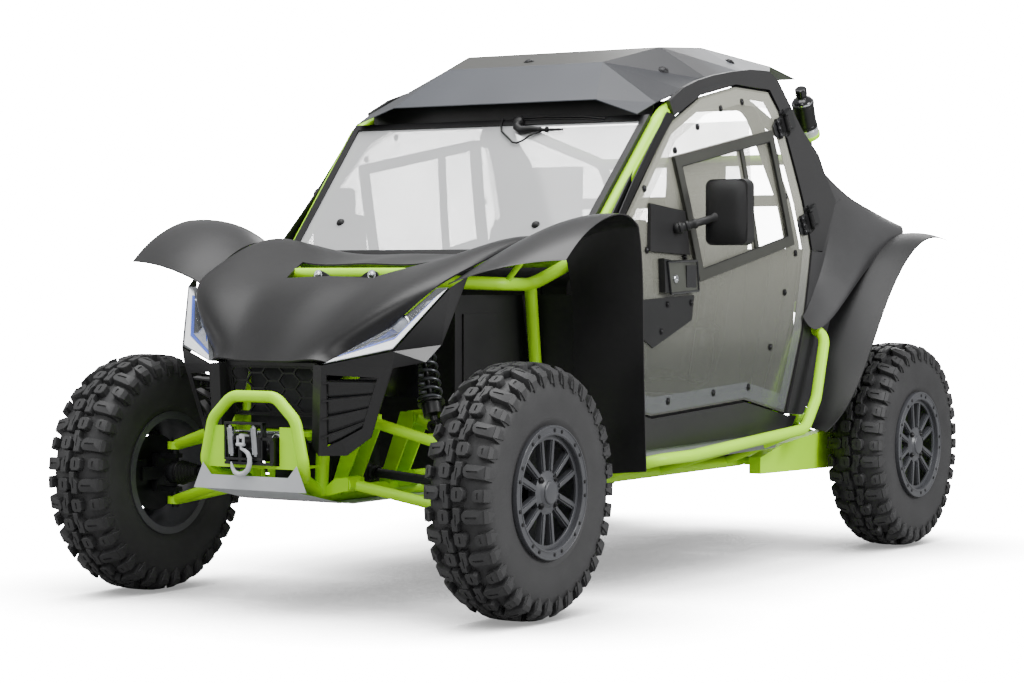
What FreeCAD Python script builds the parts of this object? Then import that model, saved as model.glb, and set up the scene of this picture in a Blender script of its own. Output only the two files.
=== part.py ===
import FreeCAD
import Part
import math
import os
import Sketcher
from FreeCAD import Placement, Rotation, Vector

# Two-seat side by side utility vehicle with a closed cab, standing on its four wheels.
# X points to the vehicle's left, Y to its rear and Z up. The origin lies on the ground, midway
# between the axles. All sizes are in millimetres.

doc = FreeCAD.newDocument("side_by_side")

# Driving dimensions, each of which can be set by itself
driving_sizes = {
    "wheelbase": 2500,
    "half_track": 692,
    "rear_half_track": 718,
    "nose_reach": 370,
    "tail_reach": 370,
    "tyre_radius": 369,
    "tyre_width": 212,
    "lug_depth": 14,
    "rim_radius": 183,
    "rim_width": 190,
    "rim_ring_radius": 191,
    "spoke_pairs": 6,
    "spindle_radius": 20,
    "pin_fit": 0.05,
    "kingpin_inset": 110,
    "kingpin_radius": 12,
    "cab_half_width": 640,
    "cab_curve_radius": 7000,
    "frame_tube": 42,
    "rail_drop": 24,
    "cage_tube": 48,
    "guard_tube": 38,
    "arm_tube": 32,
    "panel_wall": 4,
    "sheet_wall": 3,
    "glass_wall": 5,
    "door_seal_depth": 10,
    "door_gap": 9,
    "seat_gap": 0.3,
    "seat_width": 440,
    "seat_offset": 290,
    "steering_wheel_radius": 170,
    "steering_rim_radius": 14,
    "belly_pan_width": 420,
    "engine_length": 520,
    "engine_width": 460,
    "engine_height": 420,
    "bed_width": 920,
    "bed_length": 560,
    "bed_depth": 190,
    "coil_radius": 40,
    "hitch_pin_radius": 10,
    "mirror_width": 150,
    "mirror_height": 210,
}

sheet = doc.addObject("Spreadsheet::Sheet", "sizes")
for row, (alias, number) in enumerate(driving_sizes.items(), start=1):
    sheet.set(f"A{row}", alias)
    sheet.set(f"B{row}", str(number))
    sheet.setAlias(f"B{row}", alias)
doc.recompute()

panel_wall = sheet.panel_wall
glass_wall = sheet.glass_wall
seat_gap = sheet.seat_gap
frame_radius = sheet.frame_tube / 2
cage_radius = sheet.cage_tube / 2
guard_radius = sheet.guard_tube / 2
arm_radius = sheet.arm_tube / 2
brace_radius = cage_radius - 4
kingpin_x = sheet.half_track - sheet.kingpin_inset


# Places measured from the axles, the axle height and the cab's side


def front(distance):
    return -sheet.wheelbase / 2 + distance


def rear(distance):
    return sheet.wheelbase / 2 + distance


def up(height):
    return sheet.tyre_radius + height


def side(distance):
    return sheet.cab_half_width + distance


# The cab's side is upright at sill height and leans in above it on one large arc.
side_upright_height = up(331)


def side_at(height):
    lean = height - side_upright_height
    return side(0) - lean * lean / (2 * sheet.cab_curve_radius)


# Solids made from a few points


def rod(start, end, radius):
    axis = end - start
    return Part.makeCylinder(radius, axis.Length, start, axis)


def block(low, high):
    return Part.makeBox(high.x - low.x, high.y - low.y, high.z - low.z, low)


def bent_wire(points, bend):
    """Straight runs through the points, joined by tangent arcs of radius bend or less."""
    edges = []
    start = points[0]
    for index in range(1, len(points) - 1):
        corner = points[index]
        to_last = (points[index - 1] - corner).normalize()
        to_next = (points[index + 1] - corner).normalize()
        half_angle = to_last.getAngle(to_next) / 2
        shorter = min((points[index - 1] - corner).Length, (points[index + 1] - corner).Length)
        radius = min(bend, 0.45 * shorter * math.tan(half_angle))
        setback = radius / math.tan(half_angle)
        arc_start = corner + to_last * setback
        arc_end = corner + to_next * setback
        inward = (to_last + to_next).normalize()
        arc_middle = corner + inward * (radius / math.sin(half_angle) - radius)
        edges.append(Part.LineSegment(start, arc_start).toShape())
        edges.append(Part.Arc(arc_start, arc_middle, arc_end).toShape())
        start = arc_end
    edges.append(Part.LineSegment(start, points[-1]).toShape())
    return Part.Wire(edges)


def tube(points, radius, bend=90):
    if len(points) == 2:
        return rod(points[0], points[1], radius)
    path = bent_wire(points, bend)
    ring = Part.Wire(Part.makeCircle(radius, points[0], points[1] - points[0]))
    return path.makePipeShell([ring], True, False)


def polygon_face(points):
    return Part.Face(Part.makePolygon(list(points) + [points[0]]))


def side_plate(outline, inner, outer):
    """A plate with an outline of (y, z) points, from x = inner to x = outer."""
    face = polygon_face([Vector(inner, y, z) for y, z in outline])
    return face.extrude(Vector(outer - inner, 0, 0))


def cross_plate(outline, front_face, rear_face):
    """A plate with an outline of (x, z) points, from one y to another."""
    face = polygon_face([Vector(x, front_face, z) for x, z in outline])
    return face.extrude(Vector(0, rear_face - front_face, 0))


def flat_plate(outline, low, high):
    """A plate with an outline of (x, y) points, from one z to another."""
    face = polygon_face([Vector(x, y, low) for x, y in outline])
    return face.extrude(Vector(0, 0, high - low))


def skin(rows, through):
    """A panel whose outer face runs smoothly through rows of points, as thick as through."""
    surface = Part.BSplineSurface()
    surface.interpolate([[Vector(*point) for point in row] for row in rows])
    panel = surface.toShape().extrude(through)
    if panel.Volume < 0:
        panel.reverse()
    return panel


def side_wall(inset, wall):
    """The curved side of the cab as a wall, its outer face inset from the side."""
    low = up(-119)
    high = up(1331)
    steps = [low + (high - low) * step / 6 for step in range(7)]
    outer = [Vector(side_at(height) - inset, front(400), height) for height in steps]
    curve = Part.BSplineCurve()
    curve.interpolate(outer)
    face = curve.toShape().extrude(Vector(0, rear(400) - front(400), 0))
    return face.extrude(Vector(-wall, 0, 0))


def side_panel(outline, inset, wall):
    """A piece of the cab's curved side inside an outline of (y, z) points."""
    return side_plate(outline, side(-200), side(100)).common(side_wall(inset, wall))


def inset_outline(outline, distance):
    """The outline drawn in by a distance."""
    wire = Part.makePolygon([Vector(0, y, z) for y, z in outline + outline[:1]])
    shrunk = wire.makeOffset2D(-distance, 2)
    return [(vertex.Y, vertex.Z) for vertex in shrunk.OrderedVertexes]


def mirrored(shape):
    return shape.mirror(Vector(0, 0, 0), Vector(1, 0, 0))


def both(shape):
    return Part.makeCompound([shape, mirrored(shape)])


def fused(shapes):
    return shapes[0].fuse(shapes[1:]).removeSplitter()


def closed(faces):
    solid = Part.makeSolid(Part.makeShell(faces))
    if solid.Volume < 0:
        solid.reverse()
    return solid


def biggest(shape):
    return max(shape.Solids, key=lambda solid: solid.Volume)


def underside(shape, x, y):
    """The lowest height at which an upright line at x and y meets the shape."""
    line = Part.makeLine(Vector(x, y, 0), Vector(x, y, up(2000)))
    return min(vertex.Z for vertex in line.common(shape).Vertexes)


# Sub-parts of the document

subparts = []


def add_shape(label, shape):
    """A sub-part that no primitive or sketch fits, with its shape set directly."""
    part = doc.addObject("Part::Feature", label)
    part.Label = label
    part.Shape = shape
    part.Placement = Placement()
    subparts.append(part)
    return part


def new_body(label, placement):
    body = doc.addObject("PartDesign::Body", label)
    body.Label = label
    body.Placement = placement
    subparts.append(body)
    return body


def worth(expression):
    result = sheet.evalExpression(expression)
    return float(getattr(result, "Value", result))


def add_sketch(body, plane, loops, offset="0"):
    """A sketch of closed polygons, each corner held by two distances bound to the sheet."""
    sketch = body.newObject("Sketcher::SketchObject", "Sketch")
    support = [feature for feature in body.Origin.OriginFeatures if feature.Role == plane][0]
    sketch.AttachmentSupport = [(support, "")]
    sketch.MapMode = "FlatFace"
    sketch.setExpression("AttachmentOffset.Base.z", offset)
    for loop in loops:
        first = sketch.GeometryCount
        corners = [Vector(worth(across), worth(along), 0) for across, along in loop]
        for start, end in zip(corners, corners[1:] + corners[:1]):
            sketch.addGeometry(Part.LineSegment(start, end))
        for index in range(len(loop)):
            following = first + (index + 1) % len(loop)
            sketch.addConstraint(Sketcher.Constraint("Coincident", first + index, 2, following, 1))
        for index, corner in enumerate(loop):
            for kind, expression in zip(("DistanceX", "DistanceY"), corner):
                rule = Sketcher.Constraint(kind, -1, 1, first + index, 1, worth(expression))
                number = sketch.addConstraint(rule)
                sketch.setExpression(f"Constraints[{number}]", expression)
    return sketch


def revolve(body, sketch, axis):
    feature = body.newObject("PartDesign::Revolution", "Revolution")
    feature.Profile = sketch
    feature.ReferenceAxis = (sketch, [axis])
    feature.Angle = 360
    return feature


def pad(body, sketch, length):
    feature = body.newObject("PartDesign::Pad", "Pad")
    feature.Profile = sketch
    feature.setExpression("Length", length)
    return feature


def wheel_place(x, y):
    """A wheel's place: its own X points outboard."""
    turn = 0 if x > 0 else 180
    return Placement(Vector(x, y, up(0)), Rotation(Vector(0, 0, 1), turn))


# Tyres: a hollow faceted carcass with two rows of dog-leg lugs fused to it

carcass_sides = 18
lug_pitches = 18
lug_outline = [(-28, 2), (6, 2), (34, 46), (28, 93), (-6, 95), (-12, 50)]
tread_half = sheet.tyre_width / 2
crown = sheet.tyre_radius - sheet.lug_depth
carcass_outside = [
    (0, crown),
    (tread_half - 60, crown),
    (tread_half - 26, crown - 14),
    (tread_half, crown - 58),
    (tread_half, sheet.rim_radius + 60),
]


def turned(across, radius, turn):
    """A point of the tyre's own frame: X outboard, turned about X."""
    return Vector(across, radius * math.sin(turn), radius * math.cos(turn))


def carcass_height(across):
    for (x0, r0), (x1, r1) in zip(carcass_outside, carcass_outside[1:]):
        if across <= x1:
            return r0 + (r1 - r0) * (across - x0) / (x1 - x0)
    return carcass_outside[-1][1]


def carcass():
    bead_x = sheet.rim_width / 2 - 4
    bead = (sheet.rim_radius + seat_gap) / math.cos(math.pi / carcass_sides)
    right = [(bead_x, bead), (bead_x, sheet.rim_radius + 16)] + carcass_outside[:0:-1]
    inside = [(tread_half - 18, crown - 56), (bead_x - 20, bead)]
    loop = right + [(-x, r) for x, r in reversed(right)] + [(-x, r) for x, r in reversed(inside)] + inside
    faces = []
    for step in range(carcass_sides):
        turn, after = math.tau * step / carcass_sides, math.tau * (step + 1) / carcass_sides
        for (x0, r0), (x1, r1) in zip(loop, loop[1:] + loop[:1]):
            ring = [turned(x0, r0, turn), turned(x1, r1, turn), turned(x1, r1, after), turned(x0, r0, after)]
            faces.append(polygon_face(ring))
    return closed(faces)


def lug(way, turn):
    """One lug, dog-legged from the middle of the tread to its shoulder, its foot sunk in the carcass."""
    top, foot = [], []
    for along, across in lug_outline:
        shoulder_drop = max(across - 60, 0) * 0.42
        top.append(turned(way * across, sheet.tyre_radius - shoulder_drop, turn + along / sheet.tyre_radius))
        spread = min(across * 1.03, tread_half - 8)
        foot.append(turned(way * spread, carcass_height(spread) - 10, turn + along * 1.1 / sheet.tyre_radius))
    middle_top, middle_foot = (sum(ring, Vector()) * (1 / len(ring)) for ring in (top, foot))
    faces = []
    for k in range(len(top)):
        after = (k + 1) % len(top)
        faces += [
            polygon_face([top[k], top[after], middle_top]),
            polygon_face([foot[after], foot[k], middle_foot]),
            polygon_face([foot[k], foot[after], top[after]]),
            polygon_face([foot[k], top[after], top[k]]),
        ]
    return closed(faces)


def tyre():
    lugs = []
    for pitch in range(lug_pitches):
        turn = math.tau * pitch / lug_pitches
        lugs += [lug(1, turn), lug(-1, turn + math.pi / lug_pitches)]
    return fused([carcass()] + lugs)


# Rims: a barrel with two lips, six pairs of spokes, a hub and a clamped outer ring


def add_rim(label, x, y):
    body = new_body(label, wheel_place(x, y))
    half = "sizes.rim_width / 2"
    barrel = [
        (f"-{half}", "sizes.rim_radius - 14"),
        (f"-{half}", "sizes.rim_ring_radius"),
        (f"-{half} + 4 - sizes.seat_gap", "sizes.rim_ring_radius"),
        (f"-{half} + 4 - sizes.seat_gap", "sizes.rim_radius"),
        (f"{half} - 4 + sizes.seat_gap", "sizes.rim_radius"),
        (f"{half} - 4 + sizes.seat_gap", "sizes.rim_ring_radius"),
        (f"{half} + 10", "sizes.rim_ring_radius"),
        (f"{half} + 10", "sizes.rim_radius - 20"),
        (f"{half} - 10", "sizes.rim_radius - 20"),
        (f"{half} - 22", "sizes.rim_radius - 8"),
        (f"-{half} + 8", "sizes.rim_radius - 8"),
    ]
    revolve(body, add_sketch(body, "XY_Plane", [barrel]), "H_Axis")
    hub = [
        ("62", "sizes.spindle_radius + sizes.pin_fit"),
        ("62", "62"),
        ("86", "62"),
        ("92", "44"),
        ("98", "36"),
        ("98", "sizes.spindle_radius + sizes.pin_fit"),
    ]
    spoke_reach = "sizes.rim_radius - 10"
    spokes = [
        [("8", "50"), ("26", "50"), ("44", spoke_reach), ("22", spoke_reach)],
        [("-8", "50"), ("-22", spoke_reach), ("-44", spoke_reach), ("-26", "50")],
    ]
    spoke_sketch = add_sketch(body, "YZ_Plane", spokes, f"{half} - 24")
    spoke_pad = pad(body, spoke_sketch, "16")
    pattern = body.newObject("PartDesign::PolarPattern", "Spokes")
    pattern.Originals = [spoke_pad]
    pattern.Axis = (spoke_sketch, ["N_Axis"])
    pattern.Angle = 360
    pattern.setExpression("Occurrences", "sizes.spoke_pairs")
    body.Tip = pattern
    revolve(body, add_sketch(body, "XY_Plane", [hub]), "H_Axis")


# Knuckles: an upright between two ball joints, the wheel's spindle and a brake disc

lower_ball = Vector(kingpin_x, front(0), up(-84))
upper_ball = Vector(kingpin_x, front(0), up(86))
spindle_end = sheet.half_track + 96
upright_x = kingpin_x + 46


def knuckle():
    lower_face = up(-57)
    upper_face = up(61)
    arm_wall = 14
    axle_middle = Vector(upright_x, front(0), up(0))
    parts = [
        rod(lower_ball - Vector(0, 0, 22), lower_ball + Vector(0, 0, 34), sheet.kingpin_radius),
        rod(upper_ball - Vector(0, 0, 34), upper_ball + Vector(0, 0, 22), sheet.kingpin_radius),
        block(Vector(kingpin_x - 15, front(-16), lower_face),
              Vector(upright_x + 8, front(16), lower_face + arm_wall)),
        block(Vector(kingpin_x - 15, front(-16), upper_face - arm_wall),
              Vector(upright_x + 8, front(16), upper_face)),
        block(Vector(upright_x, front(-34), lower_face), Vector(upright_x + 20, front(34), upper_face)),
        rod(axle_middle, Vector(sheet.half_track + 61, front(0), up(0)), 34),
        rod(axle_middle, Vector(spindle_end, front(0), up(0)), sheet.spindle_radius),
        rod(Vector(upright_x + 34, front(0), up(0)), Vector(upright_x + 40, front(0), up(0)), 118),
        block(Vector(upright_x + 10, front(-130), up(-35)), Vector(upright_x + 62, front(-70), up(45))),
        block(Vector(upright_x, front(-100), up(-20)), Vector(upright_x + 18, front(0), up(20))),
    ]
    return fused(parts)


# Front suspension: two wishbones a side, drawn in to their ring joints


def ring_joint(centre, height):
    outer = Part.makeCylinder(24, height, centre - Vector(0, 0, height / 2))
    return outer


def pin_bore(centre, height):
    radius = sheet.kingpin_radius + sheet.pin_fit
    return Part.makeCylinder(radius, height + 10, centre - Vector(0, 0, height / 2 + 5))


def wishbone(ball, pivot_front, pivot_rear):
    sleeve = Vector(0, sleeve_half, 0)
    parts = [
        ring_joint(ball, 22),
        tube([ball, pivot_front], arm_radius),
        tube([ball, pivot_rear], arm_radius),
        rod(pivot_front - sleeve, pivot_front + sleeve, arm_radius + 6),
        rod(pivot_rear - sleeve, pivot_rear + sleeve, arm_radius + 6),
        rod(
            pivot_front + (ball - pivot_front) * brace_share,
            pivot_rear + (ball - pivot_rear) * brace_share,
            arm_radius - 5,
        ),
    ]
    return fused(parts).cut(pin_bore(ball, 60))


arm_pivot_x = 205
sleeve_half = 34
ear_wall = 6
lower_pivots = [Vector(arm_pivot_x, front(-150), up(10)), Vector(arm_pivot_x, front(190), up(10))]
upper_pivots = [Vector(arm_pivot_x + 20, front(-90), up(190)), Vector(arm_pivot_x + 20, front(150), up(190))]
brace_share = 0.45


def front_arms():
    lower = wishbone(lower_ball, *lower_pivots)
    upper = wishbone(upper_ball, *upper_pivots)
    return Part.makeCompound([lower, upper, mirrored(lower), mirrored(upper)])


# Frame: two bent rails under the floor, a front tower, bed rails and cross tubes

rail_height = up(-sheet.rail_drop)
cross_radius = frame_radius - 3
tower_x = 300
tower_y = front(125)
tower_z = up(596)
hump_x = 200
hump_rise = 22
hump_slope = hump_rise / (tower_x - hump_x)
pillar_foot = Vector(560, front(548), up(669))


def frame_side():
    rail = [
        Vector(105, front(-265), up(30)),
        Vector(118, front(-175), rail_height),
        Vector(150, front(240), rail_height),
        Vector(430, front(610), rail_height),
        Vector(470, front(860), rail_height),
        Vector(470, rear(-730), rail_height),
        Vector(300, rear(-350), rail_height),
        Vector(215, rear(60), rail_height),
        Vector(200, rear(220), up(10)),
    ]
    tower = [
        Vector(120, front(-185), rail_height),
        Vector(140, front(-190), up(231)),
        Vector(tower_x, tower_y, tower_z),
        Vector(430, front(300), up(589)),
        Vector(432, front(470), up(586)),
        pillar_foot,
    ]
    drop = [Vector(430, front(465), up(586)), Vector(434, front(490), up(331)),
            Vector(430, front(610), rail_height)]
    bed_rail = [Vector(200, rear(220), up(10)), Vector(230, rear(235), up(440)),
                Vector(430, rear(210), up(500))]
    tail_rail = [Vector(430, rear(210), up(500)), Vector(500, rear(-520), up(500)),
                 Vector(470, rear(-730), rail_height)]
    return [
        tube(rail, frame_radius, 120),
        tube(tower, frame_radius - 1, 60),
        tube(drop, frame_radius - 2, 120),
        tube(bed_rail, frame_radius - 1, 60),
        tube(tail_rail, frame_radius - 2, 80),
    ]


def cross_tube(x, y, z, radius):
    return rod(Vector(-x, y, z), Vector(x, y, z), radius)


def hood_brace():
    """The tower's cross tube, which humps up into the hood's recess."""
    ends = [Vector(tower_x, tower_y, tower_z), Vector(hump_x, tower_y, tower_z + hump_rise)]
    return tube(ends + [Vector(-point.x, point.y, point.z) for point in reversed(ends)], frame_radius - 2, 60)


def brace_height(x):
    return tower_z + (tower_x - x) * hump_slope


def main_frame():
    left = frame_side()
    right = [mirrored(piece) for piece in left]
    cross = [
        cross_tube(118, front(-165), rail_height, cross_radius),
        cross_tube(125, front(-60), rail_height, cross_radius),
        cross_tube(138, front(80), rail_height, cross_radius),
        cross_tube(150, front(235), rail_height, cross_radius),
        cross_tube(470, front(860), rail_height, cross_radius),
        cross_tube(470, rear(-735), rail_height, cross_radius),
        cross_tube(394, rear(-560), rail_height, cross_radius),
        cross_tube(258, rear(-150), rail_height, cross_radius),
        hood_brace(),
        cross_tube(140, front(-190), up(150), cross_radius),
        cross_tube(200, rear(215), up(10), cross_radius),
        cross_tube(430, rear(205), up(500), cross_radius),
        cross_tube(500, rear(-520), up(500), frame_radius - 4),
        cross_tube(sheet.rear_half_track - 178 - seat_gap, rear(-770), rail_height, 14),
    ]
    for x in (-100, 100):
        cross.append(block(Vector(x - 5, front(-234), up(146)), Vector(x + 5, front(-190), up(158))))
    ears = []
    for pivot in lower_pivots + upper_pivots:
        outline = [
            (110, rail_height),
            (152, rail_height),
            (pivot.x + 16, pivot.z - 16),
            (pivot.x + 16, pivot.z + 18),
            (pivot.x - 30, pivot.z + 18),
        ]
        for end in (-1, 1):
            near = pivot.y + end * (sleeve_half + seat_gap)
            ears.append(cross_plate(outline, near, near + end * ear_wall))
    ears += [mirrored(ear) for ear in ears]
    return left + right + cross + ears


def stay(start, x, y, carried, radius):
    """A stay from a tube's centre to just under a carried panel."""
    return rod(start, Vector(x, y, underside(carried, x, y) - 2 * seat_gap), radius)


def frame_stays(hood_shape, fender_shape):
    stays = [
        stay(Vector(262, tower_y, brace_height(262)), 262, tower_y, hood_shape, 9),
        stay(Vector(430, front(320), up(588)), 560, front(330), fender_shape, 9),
    ]
    return stays + [mirrored(piece) for piece in stays]


# Cage: a side hoop each side, cross tubes and rear braces

hoop = [
    pillar_foot + Vector(0, 0, -20),
    Vector(586, front(989), up(1116)),
    Vector(526, front(1160), up(1165)),
    Vector(535, rear(-800), up(1203)),
    Vector(568, rear(-600), up(871)),
    Vector(576, rear(-530), up(691)),
    Vector(582, rear(-630), up(391)),
    Vector(560, rear(-740), up(111)),
    Vector(470, rear(-760), rail_height),
]
brace_top = Vector(535, rear(-830), up(1201))
brace_low = Vector(440, rear(-130), up(1041))


def roll_cage():
    left = [
        tube(hoop, cage_radius, 140),
        tube([brace_top, brace_low, Vector(430, rear(200), up(500))], brace_radius, 90),
    ]
    right = [mirrored(piece) for piece in left]
    cross = [
        cross_tube(556, front(1080), up(1137), brace_radius),
        cross_tube(535, rear(-830), up(1201), brace_radius),
        cross_tube(568, rear(-602), up(875), brace_radius),
        cross_tube(440, rear(-140), up(1040), brace_radius),
        cross_tube(540, front(568), up(656), brace_radius - 2),
    ]
    return left + right + cross


def roof_posts(roof_shape):
    posts = []
    for y, height in ((front(1220), up(1166)), (rear(-880), up(1200))):
        posts.append(stay(Vector(532, y, height), 532, y, roof_shape, 12))
    return posts + [mirrored(post) for post in posts]


# Bull bar hoop with its winch cradle

bar_y = front(-sheet.nose_reach + 25)


def bull_bar():
    hoop_points = [
        Vector(112, front(-262), up(25)),
        Vector(186, bar_y, up(45)),
        Vector(150, bar_y, up(200)),
        Vector(80, bar_y, up(266)),
        Vector(-80, bar_y, up(266)),
        Vector(-150, bar_y, up(200)),
        Vector(-186, bar_y, up(45)),
        Vector(-112, front(-262), up(25)),
    ]
    cradle = cross_plate([(-172, up(60)), (172, up(60)), (150, up(180)), (-150, up(180))],
                         bar_y - 4, bar_y + 4)
    cradle = cradle.cut(cross_plate([(-96, up(68)), (96, up(68)), (96, up(190)), (-96, up(190))],
                                    bar_y - 9, bar_y + 9))
    shelf = block(Vector(-150, bar_y, up(60)), Vector(150, front(-235), up(66)))
    return [tube(hoop_points, guard_radius - 2, 60), cradle, shelf]


# Side bars along the sills


def side_bar():
    run = [
        Vector(472, front(700), rail_height),
        Vector(700, front(760), up(42)),
        Vector(722, front(960), up(46)),
        Vector(722, rear(-740), up(90)),
        Vector(716, rear(-640), up(190)),
        Vector(696, rear(-530), up(400)),
        Vector(side(-4), rear(-505), up(432)),
    ]
    strut = [Vector(470, front(1180), rail_height), Vector(722, front(1200), up(53))]
    rear_strut = [Vector(470, rear(-860), rail_height), Vector(722, rear(-810), up(86))]
    return [
        tube(run, guard_radius, 90),
        tube(strut, guard_radius - 4),
        tube(rear_strut, guard_radius - 4),
    ]


# Sheet metal under the nose and the floor


def skid_plates():
    half = sheet.belly_pan_width / 2
    top = rail_height - frame_radius - seat_gap
    pan = flat_plate([(-half, front(-150)), (half, front(-150)), (half, rear(150)), (-half, rear(150))],
                     top - sheet.sheet_wall, top)
    lip = [
        (-170, up(72)),
        (-204, up(-2)),
        (204, up(-2)),
        (170, up(72)),
        (140, up(38)),
        (-140, up(38)),
    ]
    nose = cross_plate(lip, bar_y - guard_radius - 4, bar_y - guard_radius - 1)
    rise_side = [
        (bar_y - guard_radius - 4, up(-2)),
        (bar_y - guard_radius - 1, up(-2)),
        (front(-160), top),
        (front(-150), top),
        (front(-150), top - sheet.sheet_wall),
        (front(-160), top - sheet.sheet_wall),
    ]
    rise = side_plate(rise_side, -170, 170)
    return fused([pan, rise, nose])


# Winch: motor and drum across the cradle, roller fairlead and hook


def winch():
    base = up(66) + seat_gap
    drum_y = front(-288)
    drum_z = base + 52
    fairlead_y = bar_y - 6 - guard_radius
    parts = [
        rod(Vector(-128, drum_y, drum_z), Vector(128, drum_y, drum_z), 36),
        block(Vector(-120, drum_y - 34, base), Vector(-60, drum_y + 34, drum_z + 30)),
        block(Vector(60, drum_y - 34, base), Vector(120, drum_y + 34, drum_z + 30)),
        block(Vector(-88, fairlead_y, base + 4), Vector(88, bar_y - 16, base + 12)),
        block(Vector(-88, fairlead_y, base + 76), Vector(88, bar_y - 16, base + 84)),
        block(Vector(-88, bar_y - 20, base + 4), Vector(-74, drum_y, base + 84)),
        block(Vector(74, bar_y - 20, base + 4), Vector(88, drum_y, base + 84)),
        rod(Vector(-34, fairlead_y + 8, base + 8), Vector(-34, fairlead_y + 8, base + 80), 8),
        rod(Vector(34, fairlead_y + 8, base + 8), Vector(34, fairlead_y + 8, base + 80), 8),
    ]
    return fused(parts)


# Engine, driveline and radiator


def add_engine():
    engine = doc.addObject("Part::Box", "engine_block")
    engine.Label = "engine_block"
    engine.setExpression("Length", "sizes.engine_width")
    engine.setExpression("Width", "sizes.engine_length")
    engine.setExpression("Height", "sizes.engine_height")
    engine.setExpression("Placement.Base.x", "-sizes.engine_width / 2")
    engine.setExpression("Placement.Base.y", "sizes.wheelbase / 2 - 600")
    seat_height = "sizes.tyre_radius - sizes.rail_drop + sizes.frame_tube / 2 - 3 + sizes.seat_gap"
    engine.setExpression("Placement.Base.z", seat_height)
    subparts.append(engine)


def axle_drive(case, start, end, boot, ball):
    """A gearcase with a booted half shaft each side, and the booted joints that carry on from their ends."""
    reach = end - start
    joint_start = start + reach * 0.8
    shaft = fused([
        rod(start, joint_start - reach * (seat_gap / reach.Length), 14),
        Part.makeCone(boot, 18, reach.Length * 0.2, start, reach),
    ])
    joint = fused([
        rod(joint_start, end, 14),
        Part.makeCone(17, boot - 7, reach.Length * 0.17, joint_start, reach),
    ] + ball)
    return [fused([case, shaft, mirrored(shaft)]), joint, mirrored(joint)]


def drive_line():
    case_floor = rail_height + cross_radius + seat_gap
    front_case = block(Vector(-105, front(-110), case_floor), Vector(105, front(130), up(120)))
    wheel_joint = Vector(kingpin_x, front(0), up(0))
    front_ball = [Part.makeSphere(34, wheel_joint)]
    front_parts = axle_drive(front_case, Vector(95, front(0), up(40)), wheel_joint, 40, front_ball)
    rear_start = rear(-600) + sheet.engine_length + seat_gap
    rear_case = block(Vector(-110, rear_start, up(-20)), Vector(110, rear(120), up(150)))
    hub_joint = Vector(sheet.rear_half_track - 180, rear(0), up(0))
    rear_parts = axle_drive(rear_case, Vector(100, rear(0), up(40)), hub_joint, 42, [])
    return Part.makeCompound(front_parts + rear_parts)


def radiator():
    seat_height = up(150) + cross_radius + seat_gap
    return block(Vector(-115, front(-212), seat_height), Vector(115, front(-172), up(400)))


# Rear suspension: boxed trailing arms with hub carriers and lateral links


def trailing_arms():
    outline = [
        (rear(-800), up(-66)),
        (rear(-800), up(-10)),
        (rear(-620), up(30)),
        (rear(-200), up(66)),
        (rear(60), up(70)),
        (rear(90), up(0)),
        (rear(40), up(-70)),
        (rear(-200), up(-78)),
    ]
    inner = sheet.rear_half_track - 178
    hub_face = sheet.rear_half_track + 61
    stub_end = sheet.rear_half_track + 96
    outer = sheet.rear_half_track - 134
    plate = side_plate(outline, inner, outer)
    hub = [
        rod(Vector(outer - 4, rear(0), up(0)), Vector(hub_face, rear(0), up(0)), 34),
        rod(Vector(outer - 4, rear(0), up(0)), Vector(stub_end, rear(0), up(0)), sheet.spindle_radius),
        rod(Vector(outer + 40, rear(0), up(0)), Vector(outer + 46, rear(0), up(0)), 118),
        block(Vector(outer - 6, rear(70), up(-35)), Vector(outer + 64, rear(130), up(45))),
        block(Vector(outer - 6, rear(40), up(-20)), Vector(outer + 10, rear(110), up(20))),
    ]
    arm = fused([plate] + hub)
    link_low = rod(Vector(215, rear(215), up(40)), Vector(inner + 1, rear(50), up(-46)), 13)
    link_high = rod(Vector(222, rear(210), up(170)), Vector(inner + 1, rear(40), up(46)), 13)
    return fused([arm, link_low, link_high])


# Coil-over shocks

eye_radius = 20
arm_middle = (upper_pivots[0] + upper_pivots[1]) * 0.5
brace_middle = arm_middle + (upper_ball - arm_middle) * brace_share
front_shock_low = brace_middle + Vector(0, 0, arm_radius - 5 + eye_radius + seat_gap)
brace_cosine = 1 / math.hypot(1, hump_slope)
eye_drop = (frame_radius - 2 + eye_radius + seat_gap) / brace_cosine
front_shock_top = Vector(226, tower_y, brace_height(226) - eye_drop)
rear_shock_low = Vector(sheet.rear_half_track - 156, rear(-260), up(61) + eye_radius + 2 * seat_gap)
rear_shock_top = Vector(490, rear(-420), up(500) - (frame_radius - 2) - eye_radius - seat_gap)


def coil_over(low, top):
    reach = top - low
    return [
        rod(low, top, 14),
        rod(low + reach * 0.16, low + reach * 0.66, sheet.coil_radius),
        rod(low + reach * 0.66, low + reach * 0.92, sheet.coil_radius - 12),
        Part.makeSphere(eye_radius, low),
        Part.makeSphere(eye_radius, top),
    ]


def shocks():
    front_shock = fused(coil_over(front_shock_low, front_shock_top))
    rear_shock = fused(coil_over(rear_shock_low, rear_shock_top))
    return [front_shock, rear_shock]


# Nose: hood, fascia with its grille, and headlights

hood_rows = [
    [(0, front(-306), up(368)), (110, front(-300), up(370)),
     (196, front(-284), up(371)), (210, front(-276), up(366))],
    [(0, front(-225), up(452)), (150, front(-218), up(450)),
     (286, front(-204), up(442)), (316, front(-176), up(441))],
    [(0, front(-60), up(578)), (210, front(-60), up(572)),
     (392, front(-112), up(560)), (428, front(-82), up(566))],
    [(0, front(125), up(638)), (240, front(125), up(640)),
     (452, front(72), up(652)), (474, front(70), up(640))],
    [(0, front(390), up(676)), (260, front(390), up(684)),
     (484, front(352), up(730)), (502, front(350), up(720))],
    [(0, front(500), up(676)), (270, front(500), up(682)),
     (484, front(518), up(716)), (500, front(520), up(710))],
]


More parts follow.
